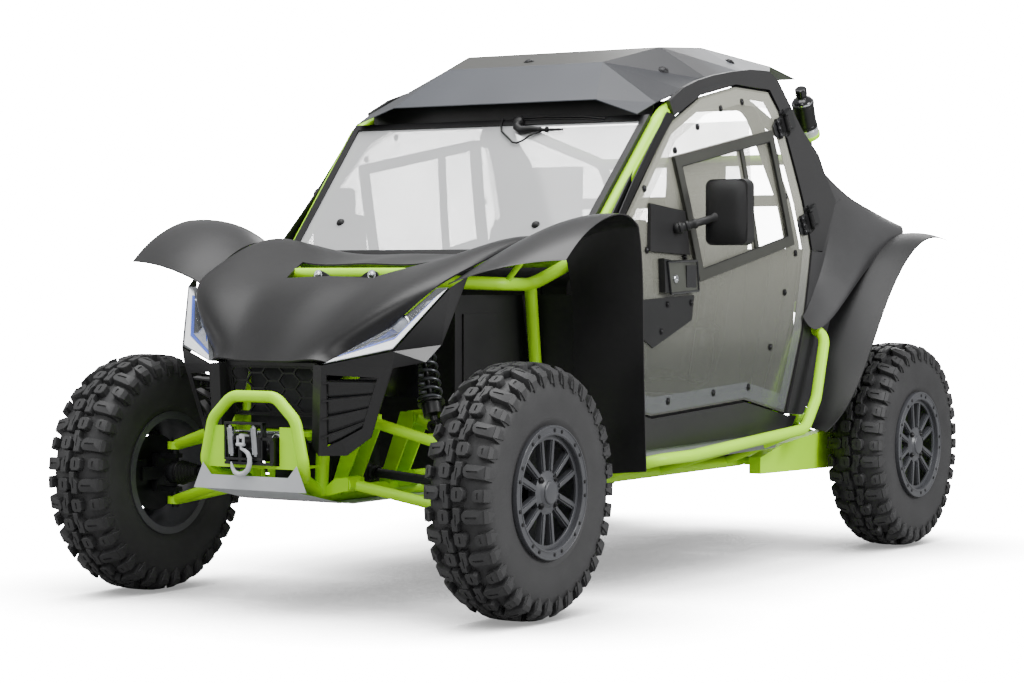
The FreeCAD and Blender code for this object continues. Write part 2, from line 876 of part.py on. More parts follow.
def full_rows(rows):
    """Rows of points on the left half, carried over to the right."""
    return [[(-x, y, z) for x, y, z in reversed(row[1:])] + row for row in rows]


def hood():
    shell = skin(full_rows(hood_rows), Vector(0, 2.2, -panel_wall))
    recess = flat_plate([(-160, front(20)), (160, front(20)), (240, front(205)), (-240, front(205))],
                        up(500), up(760))
    return shell.cut(recess)


lip_height, sill_height = up(362), up(205)
post_top_in, post_top_out = (172, front(-290), up(360)), (205, front(-296), up(357))
post_low_in, post_low_out = (163, front(-286), up(128)), (190, front(-290), up(98))
lamp_bend, lamp_top = (388, front(-199), up(398)), (486, front(-52), up(580))
cheek_corner = (382, front(-196), up(350))
chin_out, chin_mid = (306, front(-196), up(150)), (246, front(-232), up(98))
fender_tip = (504, front(8), up(612))
strip_mid, strip_low = (452, front(-51), up(414)), (440, front(-112), up(366))
grille_outline = [(-152, up(208)), (152, up(208)), (156, up(352)), (-156, up(352))]
vent_outline = [(208, up(124)), (288, up(176)), (342, up(322)), (214, up(330))]
vent_slats = 4
tab_wall = 3


def fascia_face(height):
    """The y of the fascia's recessed middle at a height."""
    share = (height - sill_height) / (lip_height - sill_height)
    return front(-240) - share * 24


def vent_slat(share):
    """A slat across the side vent, at a share of the way down it."""
    run = []
    for high, low, depth in ((214, 208, -288), (346, 292, -206)):
        heights = (up(330), up(124)) if high == 214 else (up(322), up(176))
        x = high + (low - high) * share
        run.append(Vector(x, front(depth), heights[0] + (heights[1] - heights[0]) * share))
    reach = run[1] - run[0]
    ends = [run[0] - reach * 0.06, run[1] + reach * 0.1]
    inward = Vector(0, 26, 4)
    return polygon_face([ends[0], ends[1], ends[1] + inward, ends[0] + inward]).extrude(Vector(0, 0, 5))


def front_fascia():
    centre_top = (0, fascia_face(lip_height), lip_height)
    centre_low = (0, fascia_face(sill_height), sill_height)
    side_top, side_low = (164, *centre_top[1:]), (156, *centre_low[1:])
    panels = [
        [centre_top, side_top, side_low, centre_low],
        [side_top, post_top_in, post_low_in, side_low],
        [post_top_in, post_top_out, post_low_out, post_low_in],
        [post_top_out, lamp_bend, cheek_corner],
        [lamp_bend, lamp_top, strip_mid],
        [lamp_top, fender_tip, strip_mid],
        [lamp_bend, strip_mid, strip_low],
        [lamp_bend, strip_low, cheek_corner],
        [post_top_out, cheek_corner, chin_out],
        [post_top_out, chin_out, chin_mid],
        [post_top_out, chin_mid, post_low_out],
    ]
    walls = []
    for panel in panels:
        corners = [Vector(*corner) for corner in panel]
        pairs = [corners] if len(corners) == 3 else [corners[:3], [corners[0], *corners[2:]]]
        walls += [polygon_face(pair).extrude(Vector(0, panel_wall, 0)) for pair in pairs]
    half = fused(walls).cut(cross_plate(vent_outline, front(-330), front(-60)))
    slats = [vent_slat((k + 0.5) / vent_slats) for k in range(vent_slats)]
    tab = block(Vector(126, fascia_face(sill_height), sill_height),
                Vector(150, front(-204), sill_height + tab_wall))
    half = fused([half, tab] + slats)
    opening = cross_plate(grille_outline, front(-320), front(-150))
    return fused([half, mirrored(half)]).cut(opening)


mesh_pitch = 58
mesh_rise = 46
mesh_rib = 5


def grille():
    """Flat-topped long hexagons in columns, every second column half a cell up."""
    inset = 2 * seat_gap
    left, right = grille_outline[0][0] + inset, grille_outline[1][0] - inset
    low, high = grille_outline[0][1] + inset, grille_outline[2][1] - inset
    corners = [Vector(x, fascia_face(height), height) for x, height in
               ((left, low), (right, low), (right + 3, high), (left - 3, high))]
    plate = polygon_face(corners).extrude(Vector(0, 6, 0))
    window = cross_plate([(left + 6, low + 6), (right - 6, low + 6),
                          (right - 3, high - 6), (left + 3, high - 6)],
                         front(-320), front(-180))
    half_width, half_rise = mesh_pitch * 2 / 3 - mesh_rib / 2, (mesh_rise - mesh_rib) / 2
    holes = []
    for column in range(-3, 4):
        for row in range(-1, 4):
            x = column * mesh_pitch
            height = low + 30 + row * mesh_rise + (mesh_rise / 2 if column % 2 else 0)
            outline = [(x + half_width, height), (x + half_width / 2, height + half_rise),
                       (x - half_width / 2, height + half_rise), (x - half_width, height),
                       (x - half_width / 2, height - half_rise), (x + half_width / 2, height - half_rise)]
            hole = cross_plate(outline, front(-320), front(-180)).common(window)
            if hole.Volume > 1:
                holes.append(hole)
    return plate.cut(holes)


headlight_front = [
    (209, front(-292), up(362)),
    (384, front(-200), up(403)),
    (481, front(-56), up(580)),
    (445, front(-62), up(578)),
    (333, front(-148), up(456)),
]


def headlights():
    """A closed body of triangles: the lens fanned round its middle, its back drawn inboard."""
    through = Vector(-26, 60, -6)
    rim = [Vector(*point) for point in headlight_front]
    back = [point + through for point in rim]
    middle = sum(rim, Vector()) * (1 / len(rim))
    faces = []
    for k in range(len(rim)):
        after = (k + 1) % len(rim)
        faces += [
            polygon_face([rim[k], rim[after], middle]),
            polygon_face([back[after], back[k], middle + through]),
            polygon_face([back[k], back[after], rim[after]]),
            polygon_face([back[k], rim[after], rim[k]]),
        ]
    return closed(faces)


# Front fenders: flare over the wheel, then a mud guard behind it

flare_rows = [
    [(455, front(-20), up(590)), (620, front(10), up(640)), (805, front(62), up(661))],
    [(486, front(110), up(650)), (640, front(150), up(718)), (805, front(180), up(742))],
    [(512, front(260), up(706)), (645, front(280), up(768)), (805, front(290), up(784))],
    [(530, front(390), up(718)), (650, front(396), up(778)), (805, front(400), up(794))],
    [(550, front(470), up(690)), (655, front(474), up(744)), (803, front(478), up(760))],
]
guard_top = [(x, y + 2 * seat_gap, z - 2 * seat_gap) for x, y, z in flare_rows[-1]]
guard_rows = [
    guard_top,
    [(556, front(496), up(590)), (658, front(498), up(632)), (802, front(502), up(644))],
    [(560, front(505), up(450)), (662, front(507), up(480)), (801, front(511), up(490))],
    [(560, front(511), up(300)), (666, front(513), up(320)), (800, front(517), up(328))],
    [(560, front(518), up(150)), (668, front(520), up(166)), (800, front(524), up(174))],
    [(560, front(526), up(6)), (670, front(528), up(18)), (800, front(532), up(30))],
]


def front_fender():
    through = Vector(0, -panel_wall, -panel_wall)
    return Part.makeCompound([skin(flare_rows, through), skin(guard_rows, through)])


# Plastic liners inside the front arches, bent round into the footwell's front


def arch_liner():
    plan = [
        (390, front(112)),
        (390, front(480)),
        (402, front(520)),
        (556, front(540)),
        (556, front(544)),
        (400, front(524)),
        (386, front(482)),
        (386, front(112)),
    ]
    wall = flat_plate(plan, up(200), up(556))
    hatch = block(Vector(390, front(150), up(290)), Vector(396, front(330), up(500)))
    return fused([wall, hatch])


# Windshield: one flat sheet between the leaning pillars, with its rubber frame

pillar_run = hoop[1] - hoop[0]
slope_angle = math.degrees(math.atan2(pillar_run.z, pillar_run.y))
pillar_length = math.hypot(pillar_run.y, pillar_run.z)
seal_depth = 4
glass_start = 20
glass_end = 42
glass_forward = Vector(0, -pillar_run.z, pillar_run.y) * ((cage_radius + seal_depth + seat_gap) / pillar_length)
glass_foot = Vector(0, hoop[0].y, hoop[0].z) + Vector(0, pillar_run.y, pillar_run.z) * (glass_start / pillar_length)
glass_foot = glass_foot + glass_forward
glass_place = Placement(glass_foot, Rotation(Vector(1, 0, 0), slope_angle))
glass_length = pillar_length - glass_start - glass_end
glass_half_low = pillar_foot.x - 26
glass_half_top = glass_half_low + pillar_run.x * glass_length / pillar_length


def glass_outline(grow):
    return [
        Vector(-glass_half_low - grow, -grow, 0),
        Vector(glass_half_low + grow, -grow, 0),
        Vector(glass_half_top + grow, glass_length + grow, 0),
        Vector(-glass_half_top - grow, glass_length + grow, 0),
    ]


def windshield():
    sheet_solid = polygon_face(glass_outline(0)).extrude(Vector(0, 0, glass_wall))
    return sheet_solid.transformGeometry(glass_place.toMatrix())


def windshield_frame():
    outer = polygon_face(glass_outline(17)).extrude(Vector(0, 0, 14))
    hole = polygon_face(glass_outline(-8)).extrude(Vector(0, 0, 14))
    groove = polygon_face(glass_outline(seat_gap)).extrude(Vector(0, 0, glass_wall + 2 * seat_gap))
    outer.translate(Vector(0, 0, -seal_depth))
    hole.translate(Vector(0, 0, -seal_depth))
    groove.translate(Vector(0, 0, -seat_gap))
    ring = outer.cut(hole).cut(groove)
    return ring.transformGeometry(glass_place.toMatrix())


# Roof: folded sheet metal with a visor, a raised middle and a rear lip

visor_end = (394, front(915), up(1178))
visor_corner = (547, front(914), up(1126))
edge_front = (560, front(1010), up(1166))
edge_fold = (560, front(1190), up(1218))
edge_middle = (560, rear(-1130), up(1261))
edge_rear = (560, rear(-865), up(1299))
edge_tail = (540, rear(-650), up(1315))
top_front = (306, front(1106), up(1313))
top_middle = (383, rear(-1147), up(1377))
top_rear = (383, rear(-860), up(1396))
fall_rear = (484, rear(-540), up(1349))
lip_rear = (506, rear(-384), up(1314))
roof_spine = [visor_end, top_front, top_middle, top_rear, fall_rear, lip_rear]
roof_side_facets = [
    (visor_end, visor_corner, edge_front),
    (visor_end, edge_front, top_front),
    (edge_front, edge_fold, top_front),
    (edge_fold, edge_middle, top_front),
    (edge_middle, top_middle, top_front),
    (edge_middle, edge_rear, top_middle),
    (edge_rear, top_rear, top_middle),
    (edge_rear, edge_tail, top_rear),
    (edge_tail, fall_rear, top_rear),
]


def roof():
    facets = []
    for ahead, behind in zip(roof_spine, roof_spine[1:]):
        facets.append([ahead, behind, (-behind[0], *behind[1:]), (-ahead[0], *ahead[1:])])
    for facet in roof_side_facets:
        facets.append(facet)
        facets.append([(-x, y, z) for x, y, z in facet])
    drop = Vector(0, 0, -sheet.sheet_wall)
    return fused([polygon_face([Vector(*point) for point in facet]).extrude(drop) for facet in facets])


# Doors: clear curved sheet, perimeter frame, sliding window frame, latch and mirror

hinge_top = Vector(side_at(up(1141)) + 13, rear(-648), up(1141))
hinge_low = Vector(side_at(up(811)) + 13, rear(-517), up(811))
door_outline = [
    (front(562), up(650)),
    (front(1029), up(1095)),
    (front(1262), up(1196)),
    (rear(-984), up(1245)),
    (rear(-744), up(1242)),
    (rear(-685), up(1180)),
    (rear(-560), up(872)),
    (rear(-512), up(702)),
    (rear(-600), up(424)),
    (rear(-730), up(144)),
    (rear(-1023), up(200)),
    (front(846), up(174)),
    (front(600), up(220)),
    (front(552), up(420)),
]
window_outline = [
    (front(1026), up(991)),
    (rear(-768), up(1109)),
    (rear(-661), up(722)),
    (front(1150), up(596)),
]
window_rail = 22
hinge_pin_radius = 5
hinge_bolt_radius = 4
divider_outline = [
    (rear(-1010), up(1060)),
    (rear(-985), up(1065)),
    (rear(-905), up(670)),
    (rear(-930), up(665)),
]


def door_glass():
    pane_hole = side_plate(inset_outline(window_outline, -seat_gap), side(-200), side(100))
    outer_sheet = side_panel(door_outline, 0, glass_wall).cut(pane_hole)
    pane = side_panel(inset_outline(window_outline, window_rail + seat_gap), 0, glass_wall)
    divider_slot = side_plate(inset_outline(divider_outline, -seat_gap), side(-200), side(100))
    bolt_holes = [rod(start, end, hinge_bolt_radius + seat_gap) for start, end in hinge_bolts()]
    return Part.makeCompound([outer_sheet.cut(bolt_holes)] + pane.cut(divider_slot).Solids)


def hinge_frame(pin):
    """Placement of a hinge: X outboard, Y back across the gap, Z up along the pin."""
    along = (hinge_top - hinge_low).normalize()
    return Placement(pin, Rotation(Vector(0, 0, 1), along))


def hinge_bolts():
    bolts = []
    for pin in (hinge_top, hinge_low):
        place = hinge_frame(pin)
        for height in (-14, 0, 14):
            bolts.append((place.multVec(Vector(-5, -32, height)), place.multVec(Vector(-24, -32, height))))
    return bolts


def door_frame():
    ring = side_panel(door_outline, glass_wall + seat_gap, sheet.door_seal_depth)
    ring = ring.cut(side_plate(inset_outline(door_outline, 34), side(-200), side(100)))
    parts = [ring]
    for pin in (hinge_top, hinge_low):
        place = hinge_frame(pin)
        barrel = Part.makeCylinder(11, 52, Vector(0, 0, -26))
        leaf = block(Vector(-9.4, -74, -24), Vector(-3.4, -2, 24))
        bore = Part.makeCylinder(hinge_pin_radius + sheet.pin_fit, 60, Vector(0, 0, -30))
        hinge = barrel.fuse(leaf).cut(bore)
        hinge.Placement = place
        parts.append(hinge)
    parts += [rod(start, end, hinge_bolt_radius) for start, end in hinge_bolts()]
    return fused(parts)


def hinge_mounts(trim):
    """The body's half of each hinge: a pin between two lugs on a plate that lies on the trim."""
    mounts = []
    for pin in (hinge_top, hinge_low):
        lugs = [block(Vector(-7, -8, low), Vector(8, 30, low + 8)) for low in (28, -36)]
        plate = block(Vector(-16, 18, -36), Vector(-2, 62, 36))
        shank = Part.makeCylinder(hinge_pin_radius, 76, Vector(0, 0, -38))
        mount = fused([plate, shank] + lugs)
        mount.Placement = hinge_frame(pin)
        mounts.append(mount.cut(trim))
    return mounts


def window_frame():
    frame_ring = side_panel(window_outline, -8, 8 + glass_wall + 10)
    opening = side_plate(inset_outline(window_outline, window_rail), side(-200), side(100))
    whole = side_plate(window_outline, side(-200), side(100))
    frame_ring = frame_ring.cut(opening)
    divider = side_panel(divider_outline, -6, 6 + glass_wall + 6).common(whole)
    return fused([frame_ring, divider])


# Door latch plate, paddle box and mirror on its ball arm


def door_hardware():
    plate_outline = [
        (front(770), up(538)),
        (front(1122), up(551)),
        (front(1102), up(471)),
        (front(848), up(387)),
        (front(775), up(420)),
    ]
    bracket = side_panel(plate_outline, -4, 4)
    box_outline = [
        (front(900), up(560)),
        (front(1118), up(560)),
        (front(1118), up(640)),
        (front(900), up(668)),
    ]
    latch = side_panel(box_outline, -22, 22)
    return fused([bracket, latch])


mirror_centre = Vector(side(140), front(1100), up(815))


def mirror():
    foot_outline = [
        (front(830), up(690)),
        (front(1090), up(680)),
        (front(1070), up(820)),
        (front(850), up(840)),
    ]
    foot = side_panel(foot_outline, -12, 12)
    foot_centre = Vector(side_at(up(764)) + 10, front(1000), up(764))
    housing = Part.makeBox(
        sheet.mirror_width,
        46,
        sheet.mirror_height,
        mirror_centre - Vector(sheet.mirror_width / 2, 23, sheet.mirror_height / 2),
    )
    upright = [edge for edge in housing.Edges if abs(edge.tangentAt(edge.FirstParameter).y) > 0.9]
    housing = housing.makeFillet(24, upright)
    arm = rod(foot_centre, mirror_centre, 9)
    ball = Part.makeSphere(18, foot_centre + Vector(10, 0, 0))
    return fused([foot, ball, arm, housing])


# Body sides: sills, pillar trims, quarter panels, rear fenders

sill_outline = [
    (front(604), up(66)),
    (rear(-690), up(80)),
    (rear(-640), up(128)),
    (rear(-724), up(144) - sheet.door_gap),
    (rear(-1023), up(200) - sheet.door_gap),
    (front(846), up(174) - sheet.door_gap),
    (front(604), up(216) - sheet.door_gap),
]


def sill():
    return side_plate(sill_outline, side(-46), side(2))


def sill_plate():
    outline = [
        (front(640), up(12)),
        (rear(-760), up(24)),
        (rear(-700), up(79) - seat_gap),
        (front(640), up(65) - seat_gap),
    ]
    return side_plate(outline, side(-24), side(-24) + sheet.sheet_wall)


trim_outline = [
    (front(1062), up(1110) + 1.5 * sheet.door_gap),
    (front(1262), up(1196) + sheet.door_gap),
    (rear(-984), up(1245) + sheet.door_gap),
    (rear(-744) + sheet.door_gap, up(1242) + sheet.door_gap),
    (rear(-685) + sheet.door_gap, up(1180) + 4),
    (rear(-560) + sheet.door_gap, up(872) + 4),
    (rear(-512) + sheet.door_gap, up(702)),
    (rear(-420), up(700)),
    (rear(-290), up(880)),
    (rear(-352), up(958)),
    (rear(-400), up(1040)),
    (rear(-512), up(1122)),
    (rear(-612), up(1232)),
    (rear(-660), up(1286)),
    (rear(-720), up(1316)),
    (rear(-865), up(1312)),
    (rear(-1000), up(1296)),
    (rear(-1135), up(1275)),
    (front(1250), up(1251)),
    (front(1150), up(1222)),
    (front(1040), up(1172)),
]


def pillar_trim():
    trim = side_panel(trim_outline, -4, 14)
    for pin in (hinge_top, hinge_low):
        clearance = Part.makeCylinder(21, 96, Vector(0, 0, -48))
        clearance.Placement = hinge_frame(pin)
        trim = trim.cut(clearance)
    return trim


quarter_outline = [
    (rear(-512) + sheet.door_gap + 2, up(700)),
    (rear(-420), up(696)),
    (rear(-300), up(866)),
    (rear(-249), up(890)),
    (rear(-60), up(830)),
    (rear(110), up(760)),
    (rear(90), up(726)),
    (rear(-120), up(690)),
    (rear(-330), up(520)),
    (rear(-520), up(200)),
    (rear(-600) + sheet.door_gap + 4, up(130)),
    (rear(-730) + sheet.door_gap + 14, up(140)),
    (rear(-600) + sheet.door_gap + 2, up(420)),
]
wing_rows = [
    [(600, rear(-352), up(984)), (624, rear(-400), up(716)), (648, rear(-604), up(470))],
    [(606, rear(-250), up(936)), (658, rear(-330), up(690)), (672, rear(-566), up(428))],
    [(634, rear(-60), up(862)), (694, rear(-130), up(762)), (708, rear(-252), up(612))],
    [(692, rear(128), up(796)), (702, rear(116), up(784)), (708, rear(104), up(770))],
]


def quarter_panel():
    return side_panel(quarter_outline, -2, 18)


def quarter_wing(held):
    return biggest(skin(wing_rows, Vector(-panel_wall, 0, 0)).cut(held))


rear_fender_path = [
    (-610, 100, 705, -640, 88, 766, -670, 80),
    (-510, 235, 722, -500, 232, 796, -490, 222),
    (-410, 400, 724, -400, 395, 812, -385, 380),
    (-290, 560, 726, -280, 555, 816, -262, 538),
    (-130, 690, 726, -125, 695, 818, -105, 676),
    (50, 748, 726, 56, 765, 820, 60, 748),
    (222, 760, 726, 230, 770, 820, 246, 746),
]
rear_fender_rows = [
    [
        (side_at(up(z_in)) + 2 + 2 * seat_gap, rear(y_in), up(z_in)),
        (x_mid, rear(y_mid), up(z_mid)),
        (x_out, rear(y_out), up(z_out)),
    ]
    for y_in, z_in, x_mid, y_mid, z_mid, x_out, y_out, z_out in rear_fender_path
]


def rear_fender():
    return skin(rear_fender_rows, Vector(0, panel_wall, -panel_wall))


# Cabin: floor tub, dashboard, seats and rear window

tub_floor = rail_height + frame_radius + seat_gap


def floor_tub():
    half = side(-150)
    floor = block(Vector(-half, front(560), tub_floor), Vector(half, rear(-690), tub_floor + panel_wall))
    firewall = block(Vector(-410, front(556), tub_floor), Vector(410, front(560), up(600)))
    tunnel = block(Vector(-90, front(560), tub_floor), Vector(90, rear(-690), tub_floor + 90))
    hollow = block(Vector(-86, front(564), tub_floor), Vector(86, rear(-694), tub_floor + 86))
    back = block(Vector(-420, rear(-694), tub_floor), Vector(420, rear(-690), up(700)))
    wing_end = side(-46) - seat_gap
    wing_face = [
        Vector(half - panel_wall, front(620), tub_floor),
        Vector(half, front(620), tub_floor),
        Vector(wing_end, front(620), up(96)),
        Vector(wing_end, front(620), up(124)),
        Vector(wing_end - panel_wall, front(620), up(124)),
        Vector(wing_end - panel_wall, front(620), up(98)),
        Vector(half - panel_wall, front(620), tub_floor + panel_wall),
    ]
    wing = polygon_face(wing_face).extrude(Vector(0, rear(-760) - front(620), 0))
    return fused([floor, firewall, tunnel, back, wing, mirrored(wing)]).cut(hollow)


def dashboard():
    profile = [
        (front(560) + seat_gap, up(470)),
        (front(760), up(400)),
        (front(790), up(560)),
        (front(740), up(640)),
        (front(640), up(665)),
        (front(600), up(630)),
        (front(560) + seat_gap, up(580)),
    ]
    return side_plate(profile, -500, 500)


seat_profile = [
    (rear(-1330), tub_floor + panel_wall + 90),
    (rear(-1330), tub_floor + panel_wall + 190),
    (rear(-1290), tub_floor + panel_wall + 230),
    (rear(-950), tub_floor + panel_wall + 200),
    (rear(-800), up(820)),
    (rear(-785), up(1010)),
    (rear(-700), up(1010)),
    (rear(-706), up(810)),
    (rear(-800), tub_floor + panel_wall + 90),
]


def seats():
    half = sheet.seat_width / 2
    cushion = side_plate(seat_profile, sheet.seat_offset - half, sheet.seat_offset + half)
    riser = block(
        Vector(sheet.seat_offset - half + 40, rear(-1280), tub_floor + panel_wall + seat_gap),
        Vector(sheet.seat_offset + half - 40, rear(-840), tub_floor + panel_wall + 90),
    )
    return fused([cushion, riser])


def rear_window():
    foot = up(700) + seat_gap
    outline = [(-420, foot), (420, foot), (490, up(900)), (480, up(1150)), (-480, up(1150)), (-490, up(900))]
    return cross_plate(outline, rear(-694), rear(-694) + glass_wall)


# Steering wheel on its leaning column

wheel_centre = Vector(sheet.seat_offset, front(935), up(610))
column_axis = Vector(0, 0.90, 0.44).normalize()


def steering_wheel():
    parts = [Part.makeTorus(sheet.steering_wheel_radius, sheet.steering_rim_radius,
                            wheel_centre, column_axis)]
    across = Vector(1, 0, 0)
    upward = column_axis.cross(across)
    for turn in (90, 210, 330):
        angle = math.radians(turn)
        arm = across * math.cos(angle) + upward * math.sin(angle)
        parts.append(rod(wheel_centre - column_axis * 10, wheel_centre + arm * sheet.steering_wheel_radius, 9))
    parts.append(rod(wheel_centre - column_axis * 34, wheel_centre + column_axis * 8, 32))
    bore = rod(wheel_centre - column_axis * 40, wheel_centre - column_axis * 6, 11 + sheet.pin_fit)
    return fused(parts).cut(bore)


def steering_column():
    return rod(wheel_centre - column_axis * 160, wheel_centre - column_axis * 6.5, 11)


# Load bed, tail lights, rear bumper and the canister on the cage

bed_floor = up(500) + frame_radius - 1 + seat_gap
tie_pad_rise = 3


def cargo_bed():
    half = sheet.bed_width / 2
    outer = block(Vector(-half, rear(-330), bed_floor),
                  Vector(half, rear(-330) + sheet.bed_length, bed_floor + sheet.bed_depth))
    inner = block(
        Vector(-half + panel_wall, rear(-330) + panel_wall, bed_floor + panel_wall),
        Vector(half - panel_wall, rear(-330) + sheet.bed_length - panel_wall, bed_floor + sheet.bed_depth + 1),
    )
    pad_floor = bed_floor + panel_wall
    middle = rear(-330) + sheet.bed_length / 2
    tie_pad = block(Vector(-180, middle - 150, pad_floor - 1), Vector(180, middle + 150, pad_floor + tie_pad_rise))
    return outer.cut(inner).fuse(tie_pad)


def rear_bumper():
    hoop_points = [
        Vector(205, rear(240), up(60)),
        Vector(240, rear(sheet.tail_reach - 17), up(80)),
        Vector(240, rear(sheet.tail_reach - 17), up(330)),
        Vector(-240, rear(sheet.tail_reach - 17), up(330)),
        Vector(-240, rear(sheet.tail_reach - 17), up(80)),
        Vector(-205, rear(240), up(60)),
    ]
    bar_place = rear(sheet.tail_reach - 17)
    bar = cross_tube(240, bar_place, up(90), 14)
    tongue = block(Vector(-36, rear(268), up(86)), Vector(36, bar_place, up(94)))
    pin_hole = Part.makeCylinder(sheet.hitch_pin_radius, 20, Vector(0, rear(296), up(80)))
    return [tube(hoop_points, guard_radius - 2, 60), bar, tongue.cut(pin_hole)]


def tail_light():
    mounting_face = rear(-330) + sheet.bed_length
    return block(Vector(384, mounting_face, bed_floor + 50), Vector(448, mounting_face + 16, bed_floor + 160))


def canister():
    axis = Vector(-0.12, 0.55, -0.82).normalize()
    top = Vector(452, rear(-232), up(1292))
    return fused([
        rod(top, top + axis * 30, 30),
        rod(top + axis * 30, top + axis * 190, 52),
        rod(top + axis * 190, top + axis * 206, 58),
        rod(top + axis * 200, brace_low, 16),
    ])


tyre_shape = tyre()
for label, x, y in (
    ("tyre_front_left", sheet.half_track, front(0)),
    ("tyre_front_right", -sheet.half_track, front(0)),
    ("tyre_rear_left", sheet.rear_half_track, rear(0)),
    ("tyre_rear_right", -sheet.rear_half_track, rear(0)),
):
    add_shape(label, tyre_shape.transformed(wheel_place(x, y).toMatrix(), True))
    add_rim(label.replace("tyre", "rim"), x, y)
add_engine()
doc.recompute()

left_knuckle = knuckle()
hood_shape = hood()
fender_shape = front_fender()
roof_shape = roof()
trim_shape = pillar_trim()
column_shape = steering_column()
quarter_shape = quarter_panel()
rear_fender_shape = rear_fender()
fascia_blank = front_fascia()
frame_tubes = fused(main_frame() + frame_stays(hood_shape, fender_shape))
frame_shape = biggest(frame_tubes.cut([hood_shape, fender_shape, mirrored(fender_shape)]))
fascia_shape = biggest(fascia_blank.cut([frame_shape, hood_shape, fender_shape, mirrored(fender_shape)]))
cage_shape = biggest(fused(roll_cage() + roof_posts(roof_shape)).cut([frame_shape, roof_shape]))
side_bar_shape = fused(side_bar()).cut([frame_shape, quarter_shape])
trim_shape = trim_shape.cut(cage_shape)
wing_shape = quarter_wing([quarter_shape, rear_fender_shape, trim_shape])
shock_pair = [both(shock) for shock in shocks()]

chassis_shapes = {
    "knuckle_left": left_knuckle,
    "knuckle_right": mirrored(left_knuckle),
    "main_frame": frame_shape,
    "roll_cage": cage_shape,
    "bull_bar": fused(bull_bar()).cut(frame_shape),
    "front_arms": front_arms(),
    "trailing_arms": both(trailing_arms().cut(frame_shape)),
    "shocks": Part.makeCompound([solid for pair in shock_pair for solid in pair.Solids]),
    "drive_line": drive_line(),
    "radiator": radiator(),
    "skid_plates": skid_plates(),
    "winch": winch(),
    "hood": hood_shape,
    "front_fascia": fascia_shape,
    "grille": grille(),
    "headlights": both(headlights()),
    "front_fenders": both(fender_shape),
    "arch_liners": both(arch_liner().cut(frame_shape)),
    "windshield": windshield(),
    "windshield_frame": windshield_frame().cut([cage_shape, frame_shape]),
    "roof": roof_shape,
    "side_bars": both(side_bar_shape),
    "sills": both(sill()),
    "sill_plates": both(sill_plate().cut(side_bar_shape)),
    "pillar_trims": both(trim_shape),
    "quarter_panels": both(Part.makeCompound([quarter_shape, wing_shape])),
    "rear_fenders": both(rear_fender_shape),
    "door_hinges": Part.makeCompound([both(mount) for mount in hinge_mounts(trim_shape)]),
    "floor_tub": floor_tub().cut([frame_shape, cage_shape, side_bar_shape, mirrored(side_bar_shape)]),
    "dashboard": dashboard().cut(column_shape),
    "seats": both(seats()),
    "rear_window": rear_window(),
    "steering_column": column_shape,
    "steering_wheel": steering_wheel(),
    "cargo_bed": cargo_bed().cut(cage_shape),
    "rear_bumper": fused(rear_bumper()).cut(frame_shape),
    "tail_lights": both(tail_light()),
    "canister": biggest(canister().cut(cage_shape)),
}
left_door = {
    "glass": door_glass(),
    "frame": door_frame(),
    "window": window_frame(),
    "latch": door_hardware(),
    "mirror": mirror(),
}
for label, shape in chassis_shapes.items():
    add_shape(label, shape)
for piece_name, shape in left_door.items():
    add_shape(f"door_left_{piece_name}", shape)
    add_shape(f"door_right_{piece_name}", mirrored(shape))

for item in doc.Objects:
    if "Invalid" in item.State or "Error" in item.State:
        raise RuntimeError(f"{item.Label} did not build: {item.State}")
for part in subparts:
    if part.Shape.isNull() or not part.Shape.isValid():
        raise RuntimeError(f"{part.Label} has no sound shape")

os.makedirs("parts", exist_ok=True)
for part in subparts:
    part.Shape.exportStep(f"parts/{part.Label}.step")
    print(part.Label, "solids", len(part.Shape.Solids), "volume", round(part.Shape.Volume))
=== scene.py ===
import math

import bmesh
import bpy
from mathutils import Matrix, Vector
from mathutils.bvhtree import BVHTree


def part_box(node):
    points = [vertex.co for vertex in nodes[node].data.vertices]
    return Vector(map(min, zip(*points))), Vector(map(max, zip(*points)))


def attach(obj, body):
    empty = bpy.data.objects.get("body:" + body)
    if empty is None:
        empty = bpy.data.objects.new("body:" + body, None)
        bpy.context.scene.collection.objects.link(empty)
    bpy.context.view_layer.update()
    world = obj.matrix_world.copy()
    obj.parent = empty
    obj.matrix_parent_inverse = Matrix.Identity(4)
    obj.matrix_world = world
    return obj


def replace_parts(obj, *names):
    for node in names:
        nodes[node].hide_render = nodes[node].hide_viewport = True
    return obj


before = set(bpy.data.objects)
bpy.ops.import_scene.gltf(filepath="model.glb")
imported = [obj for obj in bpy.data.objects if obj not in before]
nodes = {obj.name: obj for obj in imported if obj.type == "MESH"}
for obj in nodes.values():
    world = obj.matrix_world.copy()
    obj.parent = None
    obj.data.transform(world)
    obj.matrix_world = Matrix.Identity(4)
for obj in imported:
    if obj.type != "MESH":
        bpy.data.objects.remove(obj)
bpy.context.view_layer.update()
mm = 0.001

# camera at the photographed three-quarter view, 91 mm lens on a 36 mm sensor
cameraSettings = {"place": (4.6279, -7.4617, 0.9825), "azimuth": 32.564, "elevation": 1.459, "lens": 90.97}
azimuth = math.radians(cameraSettings["azimuth"])
elevation = math.radians(cameraSettings["elevation"])
cameraData = bpy.data.cameras.new("studioCamera")
cameraData.lens = cameraSettings["lens"]
cameraData.sensor_width = 36
camera = bpy.data.objects.new("studioCamera", cameraData)
bpy.context.scene.collection.objects.link(camera)
back = Vector((math.sin(azimuth) * math.cos(elevation), -math.cos(azimuth) * math.cos(elevation),
               math.sin(elevation)))
camera.location = cameraSettings["place"]
camera.rotation_euler = (-back).to_track_quat("-Z", "Y").to_euler()
bpy.context.scene.camera = camera
print("camera placed")


# materials

def hexColour(code):
    channels = [int(code[i:i + 2], 16) / 255 for i in (1, 3, 5)]
    linear = [c / 12.92 if c <= 0.04045 else ((c + 0.055) / 1.055) ** 2.4 for c in channels]
    return (*linear, 1.0)


